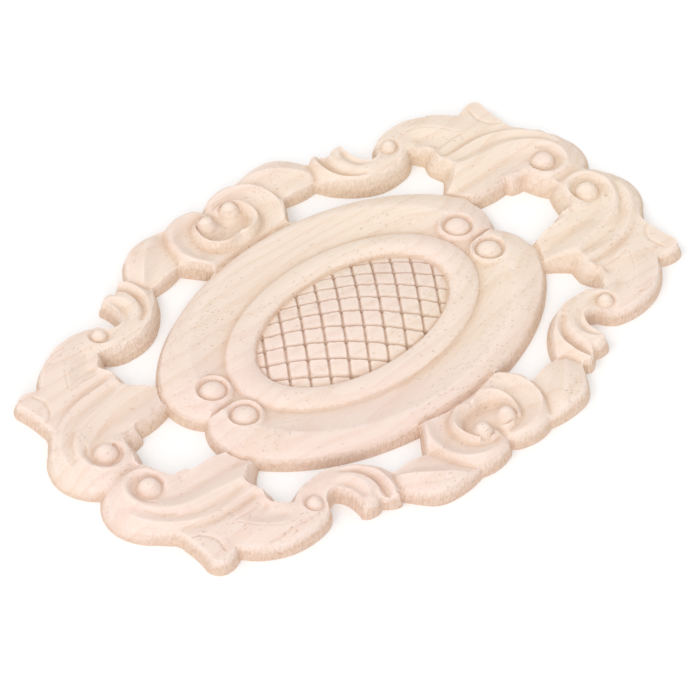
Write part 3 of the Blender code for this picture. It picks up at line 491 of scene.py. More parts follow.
def oval_height(points):
    """Height of the shield: domed field, round ring, cove and bevelled rim."""
    cove = span_place(points, RING_FOOT, RIM_CREST)
    ring_way = np.clip(span_place(points, FIELD_EDGE, RING_FOOT), 0, 1)
    from_edge = distance(points, OVAL_OUTLINE) - OVAL_WALL_INSET
    wall = OVAL_WALL_EDGE + (OVAL_WALL_EDGE - WALL_FOOT) * from_edge / OVAL_WALL_INSET
    crest = 1 / np.sqrt(ellipse_share(points, RIM_CREST) + TINY)
    past = np.hypot(points[:, 0], points[:, 1]) * np.clip(1 - crest, 0, 1)
    way = np.clip(from_edge, 0, None) / (np.clip(from_edge, 0, None) + past + NEARLY_ZERO)
    bevel = OVAL_WALL_EDGE + (RIM_CREST_HEIGHT - OVAL_WALL_EDGE) * (1 - (1 - way) ** BEVEL_POWER)
    rim = np.where(from_edge < 0, wall, bevel)
    dip = RING_FOOT_HEIGHT + (RIM_CREST_HEIGHT - RING_FOOT_HEIGHT) * np.clip(cove, 0, 1) ** COVE_POWER
    rim = np.where(cove < 1, np.minimum(rim, dip), rim)
    seat = FIELD_EDGE_HEIGHT + (RING_FOOT_HEIGHT - FIELD_EDGE_HEIGHT) * ring_way
    ring = seat + (RING_CREST_HEIGHT - seat) * np.sin(math.pi * ring_way ** RING_LEAN) ** RING_FULLNESS
    height = np.where(cove > 0, rim, ring)
    return np.where(ellipse_share(points, FIELD_EDGE) < 1, dome_height(points), height)


def wall_top(points):
    """Height and inset of the side walls' top edge near each point, blended from the nearest stations."""
    points = np.asarray(points)[:, :2]
    stations = np.array(EDGE_STATIONS)
    away = np.hypot(points[:, None, 0] - stations[None, :, 0], points[:, None, 1] - stations[None, :, 1])
    share = 1 / (away + EDGE_SOFTNESS) ** EDGE_BLEND
    mean = share @ stations[:, 2:] / share.sum(axis=1)[:, None]
    return mean[:, 0], mean[:, 1]


def stretched(corners, faces, height, held, swell):
    """Heights of a skin held at some corners and stretched between them, by conjugate gradients."""
    count = len(corners)
    first, second, weight = [], [], []
    area = np.zeros(count)
    for k in range(3):
        a, b, c = (corners[faces[:, (k + i) % 3]] for i in range(3))
        u, v = a - c, b - c
        double = np.abs(u[:, 0] * v[:, 1] - u[:, 1] * v[:, 0])
        first.append(faces[:, k])
        second.append(faces[:, (k + 1) % 3])
        weight.append(np.clip((u * v).sum(axis=1) / np.maximum(double, NEARLY_ZERO), *PULL_RANGE) / 2)
        area += np.bincount(faces[:, k], double / 6, count)
    first, second, weight = (np.concatenate(part) for part in (first, second, weight))
    total = np.bincount(first, weight, count) + np.bincount(second, weight, count) + TINY
    free = ~held

    def pull(x):
        drawn = total * x - np.bincount(first, weight * x[second], count)
        return drawn - np.bincount(second, weight * x[first], count)

    height = np.where(held, height, height[held].mean())
    rest = np.where(free, swell * area - pull(height), 0)
    step = rest / total
    way = step.copy()
    gain = rest @ step
    for _ in range(SKIN_ROUNDS):
        moved = np.where(free, pull(way), 0)
        size = gain / (way @ moved)
        height = height + size * way
        rest = rest - size * moved
        step = rest / total
        new_gain = rest @ step
        if new_gain < TINY * count:
            break
        way = step + new_gain / gain * way
        gain = new_gain
    return height


def rounded(corners, faces, height, give):
    """Heights with their creases rounded; give says how far each corner may move."""
    count = len(corners)
    first = np.concatenate([faces[:, k] for k in range(3)])
    second = np.concatenate([faces[:, (k + 1) % 3] for k in range(3)])
    near = np.bincount(first, minlength=count) + np.bincount(second, minlength=count)
    for _ in range(ROUNDING_PASSES):
        mean = np.bincount(first, height[second], count) + np.bincount(second, height[first], count)
        height = height + give * (mean / np.maximum(near, 1) - height)
    return height


def swell_at(points):
    """How strongly the skin bulges at each point."""
    swell = np.full(len(points), SWELL)
    for centre, reach, value in SWELLS:
        away = np.hypot(points[:, 0] - centre[0], points[:, 1] - centre[1]) / reach
        share = np.clip(SWELL_FADE - away, 0, 1)
        swell = swell * (1 - share) + value * share
    return swell


def wreath_skin(corners, faces, edge, under_oval):
    """Height of the wreath: side walls, then a skin stretched over its ridges, valleys and eyes."""
    top, inset = wall_top(corners)
    height = WALL_FOOT + (top - WALL_FOOT) * np.clip(edge / inset, 0, 1)
    held = edge < inset + WALL_REACH
    give = np.where(held, 0.0, SKIN_GIVE)
    for softness, stations in CREASES.values():
        away, level = nearest(corners, smooth_run(stations, LINE_STEP))
        on_line = (away < CREASE_REACH) & (edge > inset)
        height = np.where(on_line, level, height)
        held |= on_line
        give = np.where(on_line, CRISP_GIVE + SOFT_GIVE * softness, give)
    for name in WREATH_EYES:
        centre, radius, crown, drop = EYES[name]
        away = np.hypot(corners[:, 0] - centre[0], corners[:, 1] - centre[1])
        on_bead = away < radius + EYE_REACH
        height = np.where(on_bead, bead_height(away, radius, crown, drop), height)
        held |= on_bead
        give = np.where(on_bead, EYE_GIVE, give)
    used = ~under_oval[faces].all(axis=1)
    near_wreath = np.zeros(len(corners), bool)
    near_wreath[faces[used]] = True
    height = np.where(near_wreath | held, height, 0)
    part = faces[near_wreath[faces].all(axis=1)]
    height = stretched(corners, part, height, held | ~near_wreath, swell_at(corners))
    give = np.where(near_wreath, give, 0)
    return rounded(corners, part, height, give)


def surface(corners, faces):
    """Height of the carved face over the corners of the first quarter, before the crosshatch."""
    oval = with_oval_eye(corners, oval_height(corners))
    seam = OVAL_SEAM_HEIGHT + OVAL_SEAM_RISE * corners[:, 1]
    oval = np.where(corners[:, 0] > OVAL_SEAM_START, np.minimum(oval, seam), oval)
    edge = edge_gap(corners)
    from_oval = distance(corners, OVAL_OUTLINE)
    in_oval = inside(corners, OVAL_OUTLINE + PAST_MIDDLE) & (from_oval > ON_OUTLINE)
    under_oval = in_oval & (from_oval > OVERLAP)
    wreath = cut_strokes(corners, wreath_skin(corners, faces, edge, under_oval))
    wreath = wreath - np.where(in_oval, LEAF_OVER_OVAL * from_oval, 0)
    height = np.where(in_oval, np.maximum(oval, np.where(under_oval, 0, wreath)), wreath)
    return np.where(edge < NEARLY_ZERO, WALL_FOOT, np.maximum(height, WALL_FOOT))


def cut_strokes(points, height):
    """Cut the shallow lines."""
    for depth, stations in STROKES.values():
        away, width = nearest(points, smooth_run(stations, LINE_STEP))
        height = height - depth * np.clip(1 - (away / width) ** 2, 0, 1) ** STROKE_ROUND
    return height


def bead_height(away, radius, crown, drop):
    """A domed bead, from its crown down to its foot."""
    return crown - drop * np.clip(away / radius, 0, 1) ** EYE_DOME


def with_oval_eye(points, height):
    """A bead and the thin lip round it, which falls away outside."""
    centre, radius, crown, drop = EYES["oval eye"]
    away = np.hypot(points[:, 0] - centre[0], points[:, 1] - centre[1])
    foot = crown - drop
    lip_top = crown - EYE_LIP_DROP
    rise = np.clip((away - radius) / EYE_LIP, 0, 1)
    lip = foot + (lip_top - foot) * np.sin(rise * math.pi / 2)
    fall = np.maximum(height, lip_top - EYE_FALL * (away - radius - EYE_LIP))
    height = np.where(away < radius + EYE_LIP, lip, fall)
    return np.where(away < radius, bead_height(away, radius, crown, drop), height)


def beside(line, shift):
    """A line moved sideways; the shift may change from point to point."""
    points = np.array([p[:2] for p in line])
    along = np.gradient(points, axis=0)
    along /= np.hypot(along[:, 0], along[:, 1])[:, None]
    return list(points + np.reshape(shift, (-1, 1)) * np.c_[-along[:, 1], along[:, 0]])


def circle(centre, radius):
    """Points round a circle, closed."""
    count = round(2 * math.pi * radius / WREATH_STEP)
    turns = [2 * math.pi * i / count for i in range(count + 1)]
    return [np.array([centre[0] + radius * math.cos(t), centre[1] + radius * math.sin(t)]) for t in turns]


def wall_edges():
    """Lines along the top edge of the side walls."""
    lines = []
    for line in QUARTER_EDGES:
        inset = wall_top(line)[1]
        lines += [beside(line, inset), beside(line, -inset)]
    return lines


def feature_lines():
    """Lines in the first quarter that the carved face follows."""
    lines = [smooth_run(stations, WREATH_STEP) for _, stations in CREASES.values()]
    lines += [smooth_run(stations, WREATH_STEP) for _, stations in STROKES.values()]
    for centre, radius, _, _ in EYES.values():
        lines.append(circle(centre, radius))
    centre, radius, _, _ = EYES["oval eye"]
    lines.append(circle(centre, radius + EYE_LIP))
    for half in (RING_FOOT, RIM_CREST):
        lines.append(ellipse_run(half, 0, math.pi / 2, OVAL_STEP))
    lines.append(OVAL_OUTLINE)
    return lines


def pieces_where(line, keep):
    """The stretches of a line whose points are kept."""
    piece = []
    for point, wanted in zip(line, keep):
        if wanted:
            piece.append(point)
        elif len(piece) > 1:
            yield piece
        if not wanted:
            piece = []
    if len(piece) > 1:
        yield piece


def hex_points(low, high, step):
    """Points in staggered rows."""
    rows = np.arange(low[1], high[1], step * math.sqrt(0.75))
    across = np.arange(low[0], high[0], step)
    return np.concatenate([np.c_[across + (i % 2) * step / 2, np.full(len(across), up)]
                           for i, up in enumerate(rows)])


def search_tree(points):
    """A tree that finds the points near a place."""
    tree = KDTree(len(points))
    for i, point in enumerate(points):
        tree.insert((*point, 0.0), i)
    tree.balance()
    return tree


class Plan:
    """Points and fixed edges of a flat drawing, to be filled with triangles."""

    def __init__(self):
        self.points = []
        self.edges = []

    def line(self, line, closed=False):
        """Add a line's points and edges."""
        first = len(self.points)
        self.points.extend(p[:2] for p in line)
        self.edges.extend((first + i, first + i + 1) for i in range(len(line) - 1))
        if closed:
            self.edges.append((len(self.points) - 1, first))

    def pieces(self, line, keep):
        """Add the stretches of a line whose points are kept."""
        for piece in pieces_where(line, keep):
            self.line(piece)

    def fill(self, grids):
        """Add the points of some grids, each with its step, that keep clear of the lines."""
        tree = search_tree(self.points)
        for grid, step in grids:
            self.points.extend(p for p in grid if tree.find((*p, 0.0))[2] > FILL_SHARE * step)

    def cut(self):
        """The drawing cut into triangles, with its crossed lines and the lines that they come from."""
        return delaunay_2d_cdt([Vector(p) for p in self.points], self.edges, [], 0, CROSSING_REACH)

    def tidy(self, fixed_count):
        """Cross the lines, then draw together points that fall too close; the fixed first ones stay."""
        corners, crossed, _, _, sources, _ = self.cut()
        plan = np.array([tuple(v) for v in corners])
        tree = search_tree(plan)
        place = {}
        kept = []
        for i, point in enumerate(plan):
            if i in place:
                continue
            place[i] = len(kept)
            kept.append(point)
            for _, other, _ in tree.find_range((*point, 0.0), MERGE_REACH):
                if other >= fixed_count and other > i and other not in place:
                    place[other] = place[i]
        lines = {(place[a], place[b]) for (a, b), source in zip(crossed, sources) if source}
        self.points = kept
        self.edges = sorted(line for line in lines if line[0] != line[1])

    def triangles(self, wanted):
        """Corners and triangles, of those whose middles are wanted."""
        corners, _, faces, _, _, _ = self.cut()
        corners = np.array([tuple(v) for v in corners])
        faces = np.array([face for face in faces if len(face) == 3])
        return corners, faces[wanted(corners[faces].mean(axis=1))]


def quarter_border():
    """The closed border of one quarter outside the field, anticlockwise from the X axis."""
    volute = [np.array([x, 0.0]) for x in np.linspace(END_GAP_LEAF[-1][0], VOLUTE[0][0], VOLUTE_SEAM_POINTS)]
    shell = [np.array([0.0, y]) for y in np.linspace(SHELL[-1][1], FIELD_EDGE[1], SHELL_SEAM_POINTS)]
    field = ellipse_run(FIELD_EDGE, math.pi / 2, 0, FIELD_BORDER_STEP)
    shield = [np.array([x, 0.0]) for x in np.linspace(FIELD_EDGE[0], OVAL_END[0][0], OVAL_SEAM_POINTS)]
    return volute[:-1] + OUTER[:-1] + shell[:-1] + field[:-1] + shield[:-1] + END_GAP[:-1]


def quarter_mesh():
    """Corners and triangles of the carved face in one quarter."""
    border = quarter_border()
    plan = Plan()
    plan.line(border, closed=True)
    plan.line(SIDE_GAP, closed=True)
    fixed = len(plan.points)

    def in_wood(points):
        return inside(points, border) & ~inside(points, SIDE_GAP)

    def clearance(points):
        return np.minimum(distance(points, border + border[:1]), distance(points, SIDE_GAP + SIDE_GAP[:1]))

    for lines, share, margin in ((wall_edges(), INSET_SHARE, 0.0), (feature_lines(), 1.0, WALL_CLEARANCE)):
        for line in lines:
            points = np.array([p[:2] for p in line])
            off_wall = edge_gap(points) > share * wall_top(points)[1] + margin
            plan.pieces(line, in_wood(points) & off_wall & (clearance(points) > LINE_CLEARANCE))
    grids = []
    for step, in_oval in ((WREATH_STEP, False), (OVAL_STEP, True)):
        grid = hex_points((0, 0), np.max(OUTER, axis=0), step)
        grids.append((grid[(inside(grid, OVAL_OUTLINE + PAST_MIDDLE) == in_oval) & in_wood(grid)], step))
    plan.fill(grids)
    plan.tidy(fixed)
    return plan.triangles(in_wood)


def field_mesh():
    """Corners and triangles of the crosshatched field, with lines along each groove."""
    quarter = ellipse_run(FIELD_EDGE, 0, math.pi / 2, FIELD_BORDER_STEP)
    half = quarter + [p * np.array([-1, 1]) for p in quarter[::-1][1:]]
    border = half + [p * np.array([1, -1]) for p in half[::-1][1:-1]]
    plan = Plan()
    plan.line(border, closed=True)
    for along, step in ((HATCH_ALONG, HATCH_ACROSS), (HATCH_ACROSS, HATCH_ALONG)):
        along = np.array(along) / math.hypot(*along)
        normal = np.array([along[1], -along[0]])
        spacing = abs(normal @ np.array(step))
        first = normal @ np.array(HATCH_START)
        for i in range(-HATCH_LINES, HATCH_LINES + 1):
            for shift in (-GROOVE_HALF_WIDTH, 0, GROOVE_HALF_WIDTH):
                reach = np.arange(-HATCH_REACH, HATCH_REACH, FIELD_STEP)
                line = normal * (first + i * spacing + shift) + reach[:, None] * along
                plan.pieces(line, ellipse_share(line, FIELD_EDGE) < FIELD_LINES_EDGE)
    grid = hex_points(-np.array(FIELD_BOX), FIELD_BOX, FIELD_FILL_STEP)
    plan.fill([(grid[inside(grid, border)], FIELD_STEP)])
    plan.tidy(len(border))
    return plan.triangles(lambda points: inside(points, border))


def carved_face():
    """Corners and triangles of the whole face: four mirrored quarters and the field."""
    corners, faces = quarter_mesh()
    corners[np.abs(corners) < AXIS_REACH] = 0
    height = surface(corners, faces)
    field, field_faces = field_mesh()
    place = {}
    rows = []
    triangles = []

    def put(plan, heights, new_faces):
        """Add some corners, unless they are there already, and the triangles between them."""
        index = []
        for (x, y), z in zip(plan, heights):
            key = (round(x, PLACE_DIGITS), round(y, PLACE_DIGITS))
            if key not in place:
                place[key] = len(rows)
                rows.append((x, y, z))
            index.append(place[key])
        triangles.extend(tuple(index[i] for i in face) for face in new_faces)

    for across, up in ((1, 1), (-1, 1), (-1, -1), (1, -1)):
        turned = faces if across * up > 0 else faces[:, ::-1]
        put(corners * np.array([across, up]), height, turned)
    put(field, np.maximum(dome_height(field), FIELD_EDGE_HEIGHT), field_faces)
    return np.array(rows), triangles


def closed_loops(rim):
    """The loops of corners that the edges of a rim make."""
    after = dict(rim)
    waiting = set(after)
    while waiting:
        first = min(waiting)
        loop = [first]
        while after[loop[-1]] != first:
            loop.append(after[loop[-1]])
        waiting -= set(loop)
        yield loop


def rosette_mesh():
    """The closed body: the carved face, the feet of the side walls and the flat back."""
    rows, triangles = carved_face()
    sides = dict.fromkeys(side for face in triangles for side in zip(face, face[1:] + face[:1]))
    rim = [side for side in sides if side[::-1] not in sides]
    border = sorted({i for side in rim for i in side})
    on_border = {old: new for new, old in enumerate(border)}
    back = Plan()
    back.points = list(rows[border][:, :2])
    back.edges = [(on_border[a], on_border[b]) for a, b in rim]
    loops = [[rows[i, :2] for i in loop] for loop in closed_loops(rim)]

    def in_wood(points):
        return np.logical_xor.reduce([inside(points, loop) for loop in loops])

    _, back_faces = back.triangles(in_wood)
    base = len(rows)
    vertices = [(x * MM, y * MM, z * MM) for x, y, z in rows]
    vertices += [(x * MM, y * MM, 0.0) for x, y, _ in rows[border]]
    polygons = triangles + [tuple(base + i for i in face[::-1]) for face in back_faces]
    polygons += [(b, a, base + on_border[a], base + on_border[b]) for a, b in rim]
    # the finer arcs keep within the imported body's box
    vertices = np.clip(vertices, *[np.array(corner) for corner in cad_box])
    mesh = bpy.data.meshes.new("rosette wood")
    mesh.from_pydata(vertices, [], polygons)
    mesh.validate()
    return mesh


NUMBER = "NodeSocketFloat"
VECTOR = "NodeSocketVector"
# middle of a noise's colour
HALF = (0.5, 0.5, 0.5)


def add(tree, kind, inputs=(), **settings):
    """A node with its settings by name; its inputs, by number or name, are values or the outputs fed in."""
    node = tree.nodes.new(kind)
    for name, value in settings.items():
        setattr(node, name, value)
    for key, value in inputs.items() if isinstance(inputs, dict) else enumerate(inputs):
        if isinstance(value, bpy.types.NodeSocket):
            tree.links.new(value, node.inputs[key])
        elif value is not None:
            node.inputs[key].default_value = value
    return node


def maths(tree, operation, *values, clamp=False):
    """The output of one Math node."""
    return add(tree, "ShaderNodeMath", values, operation=operation, use_clamp=clamp).outputs[0]


def vectors(tree, operation, *values):
    """The output of one Vector Math node that gives a vector."""
    return add(tree, "ShaderNodeVectorMath", values, operation=operation).outputs[0]


def amount(tree, operation, *values):
    """The output of one Vector Math node that gives a number."""
    return add(tree, "ShaderNodeVectorMath", values, operation=operation).outputs["Value"]


def blend(tree, share, first, second, kind="MIX"):
    """A colour between two colours; a Mix node has its colours in inputs 6 and 7 and output 2."""
    colours = {"Factor": share, 6: first, 7: second}
    return add(tree, "ShaderNodeMix", colours, data_type="RGBA", blend_type=kind).outputs[2]


def ramp(tree, value, low, high, to_low=0.0, to_high=1.0):
    """A value moved smoothly from one range to another."""
    return add(tree, "ShaderNodeMapRange", (value, low, high, to_low, to_high),
               interpolation_type="SMOOTHSTEP").outputs[0]


def noise(tree, place, detail, roughness=0.5, scale=1.0):
    """A noise texture at a place."""
    return add(tree, "ShaderNodeTexNoise", {"Vector": place, "Scale": scale, "Detail": detail,
                                            "Roughness": roughness})


def new_tree(name, kind, sockets):
    """A node group with named sockets; returns it with its input and output nodes."""
    tree = bpy.data.node_groups.new(name, kind)
    for label, way, socket_type, value in sockets:
        socket = tree.interface.new_socket(label, in_out=way, socket_type=socket_type)
        if value is not None:
            socket.default_value = value
    return tree, tree.nodes.new("NodeGroupInput"), tree.nodes.new("NodeGroupOutput")


def crosshatch_tree():
    """Cuts two families of straight grooves, with a pit at each crossing, into the domed field."""
    tree, start, end = new_tree("crosshatched field", "GeometryNodeTree", [
        ("Geometry", "INPUT", "NodeSocketGeometry", None),
        ("Groove depth", "INPUT", NUMBER, GROOVE_DEPTH * MM),
        ("Groove half width", "INPUT", NUMBER, GROOVE_HALF_WIDTH * MM),
        ("Pit depth", "INPUT", NUMBER, PIT_DEPTH * MM),
        ("Pit radius", "INPUT", NUMBER, PIT_RADIUS * MM),
        ("Field half size", "INPUT", VECTOR, None),
        ("First crossing", "INPUT", VECTOR, None),
        ("Step along", "INPUT", VECTOR, None),
        ("Step across", "INPUT", VECTOR, None),
        ("Wobble", "INPUT", NUMBER, WOBBLE * MM),
        ("Wood", "INPUT", "NodeSocketMaterial", None),
        ("Geometry", "OUTPUT", "NodeSocketGeometry", None)])
    place = tree.nodes.new("GeometryNodeInputPosition").outputs[0]
    wander = noise(tree, place, 1.0, scale=WOBBLE_SCALE).outputs["Color"]
    wander = {0: vectors(tree, "SUBTRACT", wander, HALF), "Scale": start.outputs["Wobble"]}
    wander = add(tree, "ShaderNodeVectorMath", wander, operation="SCALE").outputs[0]
    wandered = vectors(tree, "ADD", place, wander)
    from_first = vectors(tree, "SUBTRACT", wandered, start.outputs["First crossing"])
    away = []
    for along, step in (("Step along", "Step across"), ("Step across", "Step along")):
        square = vectors(tree, "CROSS_PRODUCT", start.outputs[along], (0.0, 0.0, 1.0))
        square = vectors(tree, "NORMALIZE", square)
        spacing = maths(tree, "ABSOLUTE", amount(tree, "DOT_PRODUCT", square, start.outputs[step]))
        rows = maths(tree, "DIVIDE", amount(tree, "DOT_PRODUCT", square, from_first), spacing)
        part = maths(tree, "SUBTRACT", rows, maths(tree, "ROUND", rows))
        away.append(maths(tree, "MULTIPLY", maths(tree, "ABSOLUTE", part), spacing))
    share = maths(tree, "DIVIDE", maths(tree, "MINIMUM", *away), start.outputs["Groove half width"])
    groove = maths(tree, "POWER", maths(tree, "SUBTRACT", 1.0, share, clamp=True), GROOVE_ROUND)
    corner = maths(tree, "SQRT", maths(tree, "ADD", *[maths(tree, "MULTIPLY", a, a) for a in away]))
    near = maths(tree, "DIVIDE", corner, start.outputs["Pit radius"])
    pit = maths(tree, "SQRT", maths(tree, "SUBTRACT", 1.0, near, clamp=True))
    depth = maths(tree, "ADD", maths(tree, "MULTIPLY", groove, start.outputs["Groove depth"]),
                  maths(tree, "MULTIPLY", pit, start.outputs["Pit depth"]))
    reach = vectors(tree, "DIVIDE", place, start.outputs["Field half size"])
    reach = vectors(tree, "MULTIPLY", reach, (1.0, 1.0, 0.0))
    on_field = maths(tree, "LESS_THAN", amount(tree, "DOT_PRODUCT", reach, reach), HATCH_EDGE)
    height = add(tree, "ShaderNodeSeparateXYZ", (place,)).outputs[2]
    on_field = maths(tree, "MULTIPLY", on_field, maths(tree, "GREATER_THAN", height, FRONT_HEIGHT * MM))
    depth = maths(tree, "MULTIPLY", depth, on_field)
    down = add(tree, "ShaderNodeCombineXYZ", (0.0, 0.0, maths(tree, "MULTIPLY", depth, -1.0))).outputs[0]
    cut = add(tree, "GeometryNodeSetPosition", {"Geometry": start.outputs["Geometry"], "Offset": down})
    # painted shade, strongest in the pits, stored as the groove mark for the wood's colour
    groove_shade = maths(tree, "MULTIPLY_ADD", groove, GROOVE_SHADE_SHARE, maths(tree, "MULTIPLY", pit, PIT_SHADE_SHARE))
    groove_shade = add(tree, "GeometryNodeStoreNamedAttribute", {
        "Geometry": cut.outputs[0], "Name": "groove", "Value": maths(tree, "MULTIPLY", groove_shade, on_field)},
        data_type="FLOAT", domain="POINT")
    whole = add(tree, "GeometryNodeRealizeInstances", (groove_shade.outputs[0],))
    dressed = add(tree, "GeometryNodeSetMaterial", {"Geometry": whole.outputs[0],
                                                    "Material": start.outputs["Wood"]})
    tree.links.new(dressed.outputs[0], end.inputs[0])
    return tree


def with_tree(piece, tree, values):
    """The plain mesh that a piece becomes under a geometry tree, with the tree's inputs set by name."""
    modifier = piece.modifiers.new(tree.name, "NODES")
    modifier.node_group = tree
    for item in tree.interface.items_tree:
        if item.in_out == "INPUT" and item.name in values:
            modifier[item.identifier] = values[item.name]
    bpy.context.view_layer.update()
    shaped = piece.evaluated_get(bpy.context.evaluated_depsgraph_get())
    mesh = bpy.data.meshes.new_from_object(shaped)
    piece.modifiers.remove(modifier)
    return mesh


def smoothed(values, pairs, counts, rounds):
    """Values on the corners of a mesh, averaged with their neighbours again and again."""
    for _ in range(rounds):
        total = np.bincount(pairs[:, 0], values[pairs[:, 1]], len(values))
        total += np.bincount(pairs[:, 1], values[pairs[:, 0]], len(values))
        values = (values + total / counts) / 2
    return values


def mark_relief(mesh):
    """Store how deep each corner lies in a hollow, and how steep the wood is there."""
    count = len(mesh.vertices)
    places = np.empty(count * 3)
    mesh.vertices.foreach_get("co", places)
    heights = places.reshape(-1, 3)[:, 2] / MM
    pairs = np.empty(len(mesh.edges) * 2, np.int32)
    mesh.edges.foreach_get("vertices", pairs)
    pairs = pairs.reshape(-1, 2)
    carved = (heights[pairs] > BACK_HEIGHT).all(axis=1)
    pairs = pairs[carved]
    counts = np.maximum(np.bincount(pairs.ravel(), minlength=count), 1)
    for name, rounds, scale in RELIEF_MARKS:
        mean = smoothed(heights, pairs, counts, rounds)
        depth = np.where(heights > BACK_HEIGHT, (mean - heights) / scale, 0)
        mesh.attributes.new(name, "FLOAT", "POINT").data.foreach_set("value", depth.astype(np.float32))
    normals = np.empty(count * 3)
    mesh.vertices.foreach_get("normal", normals)
    steep = 1 - np.abs(normals.reshape(-1, 3)[:, 2])
    mesh.attributes.new("steep", "FLOAT", "POINT").data.foreach_set("value", steep.astype(np.float32))


def grain_group():
    """Straight-grained timber along X: broad tone, growth rings, fine streaks and open pores."""
    tree, start, end = new_tree("timber grain", "ShaderNodeTree", [
        ("Place in mm", "INPUT", VECTOR, None),
        ("Ring spacing", "INPUT", NUMBER, 7.0),
        ("Streak width", "INPUT", NUMBER, 0.65),
        ("Pore length", "INPUT", NUMBER, 1.5),
        ("Pore width", "INPUT", NUMBER, 0.24),
        ("Tone", "OUTPUT", NUMBER, None),
        ("Rings", "OUTPUT", NUMBER, None),
        ("Streaks", "OUTPUT", NUMBER, None),
        ("Pores", "OUTPUT", NUMBER, None)])
    place = start.outputs["Place in mm"]
    broad = noise(tree, vectors(tree, "MULTIPLY", place, TONE_PATCHES), 2.0)
    bend = vectors(tree, "SUBTRACT", broad.outputs["Color"], HALF)
    bent = vectors(tree, "ADD", place, vectors(tree, "MULTIPLY", bend, GRAIN_BEND))
    tree.links.new(ramp(tree, broad.outputs["Fac"], *TONE_RANGE), end.inputs["Tone"])
    # the log's heart runs along X, below the board and to one side
    from_heart = vectors(tree, "MULTIPLY", vectors(tree, "ADD", bent, FROM_HEART), HEART_STRETCH)
    radius = amount(tree, "LENGTH", from_heart)
    turn = maths(tree, "FRACT", maths(tree, "DIVIDE", radius, start.outputs["Ring spacing"]))
    late = maths(tree, "MULTIPLY", ramp(tree, turn, *LATE_RISE), ramp(tree, turn, *LATE_END))
    tree.links.new(late, end.inputs["Rings"])
    thin = maths(tree, "DIVIDE", 1.0, start.outputs["Streak width"])
    across = add(tree, "ShaderNodeCombineXYZ", (STREAK_STRETCH, thin, thin)).outputs[0]
    streaks = noise(tree, vectors(tree, "MULTIPLY", bent, across), 3.0, 0.62)
    tree.links.new(ramp(tree, streaks.outputs["Fac"], *STREAK_RANGE), end.inputs["Streaks"])
    per_length, per_width = (maths(tree, "DIVIDE", PORE_CELL, start.outputs[name])
                             for name in ("Pore length", "Pore width"))
    size = add(tree, "ShaderNodeCombineXYZ", (per_length, per_width, per_width)).outputs[0]
    cell_place = vectors(tree, "MULTIPLY", place, size)
    cells = add(tree, "ShaderNodeTexVoronoi", {"Vector": cell_place, "Scale": 1.0, "Randomness": 1.0})
    crowd = noise(tree, vectors(tree, "MULTIPLY", place, PORE_PATCHES), 1.0).outputs["Fac"]
    chance = add(tree, "ShaderNodeSeparateColor", (cells.outputs["Color"],)).outputs[0]
    present = maths(tree, "LESS_THAN", chance, ramp(tree, crowd, *PORE_PATCH_RANGE, *PORE_SHARE))
    pores = maths(tree, "MULTIPLY", ramp(tree, cells.outputs["Distance"], *PORE_SPOT), present)
    tree.links.new(pores, end.inputs["Pores"])
    return tree


def ridge_group():
    """Upright ridges that a cutter leaves on a side wall: the pattern doesn't change with height."""
    tree, start, end = new_tree("cutter ridges", "ShaderNodeTree", [
        ("Place in mm", "INPUT", VECTOR, None),
        ("Ridge width", "INPUT", NUMBER, 1.0),
        ("Steepness", "INPUT", NUMBER, 0.0),
        ("Ridges", "OUTPUT", NUMBER, None)])
    flat = vectors(tree, "MULTIPLY", start.outputs["Place in mm"], RIDGE_STRETCH)
    scale = maths(tree, "DIVIDE", 1.0, start.outputs["Ridge width"])
    ridges = ramp(tree, noise(tree, flat, 1.0, scale=scale).outputs["Fac"], *RIDGE_RANGE)
    on_wall = ramp(tree, start.outputs["Steepness"], *RIDGE_STEEPNESS)
    tree.links.new(maths(tree, "MULTIPLY", ridges, on_wall), end.inputs[0])
    return tree


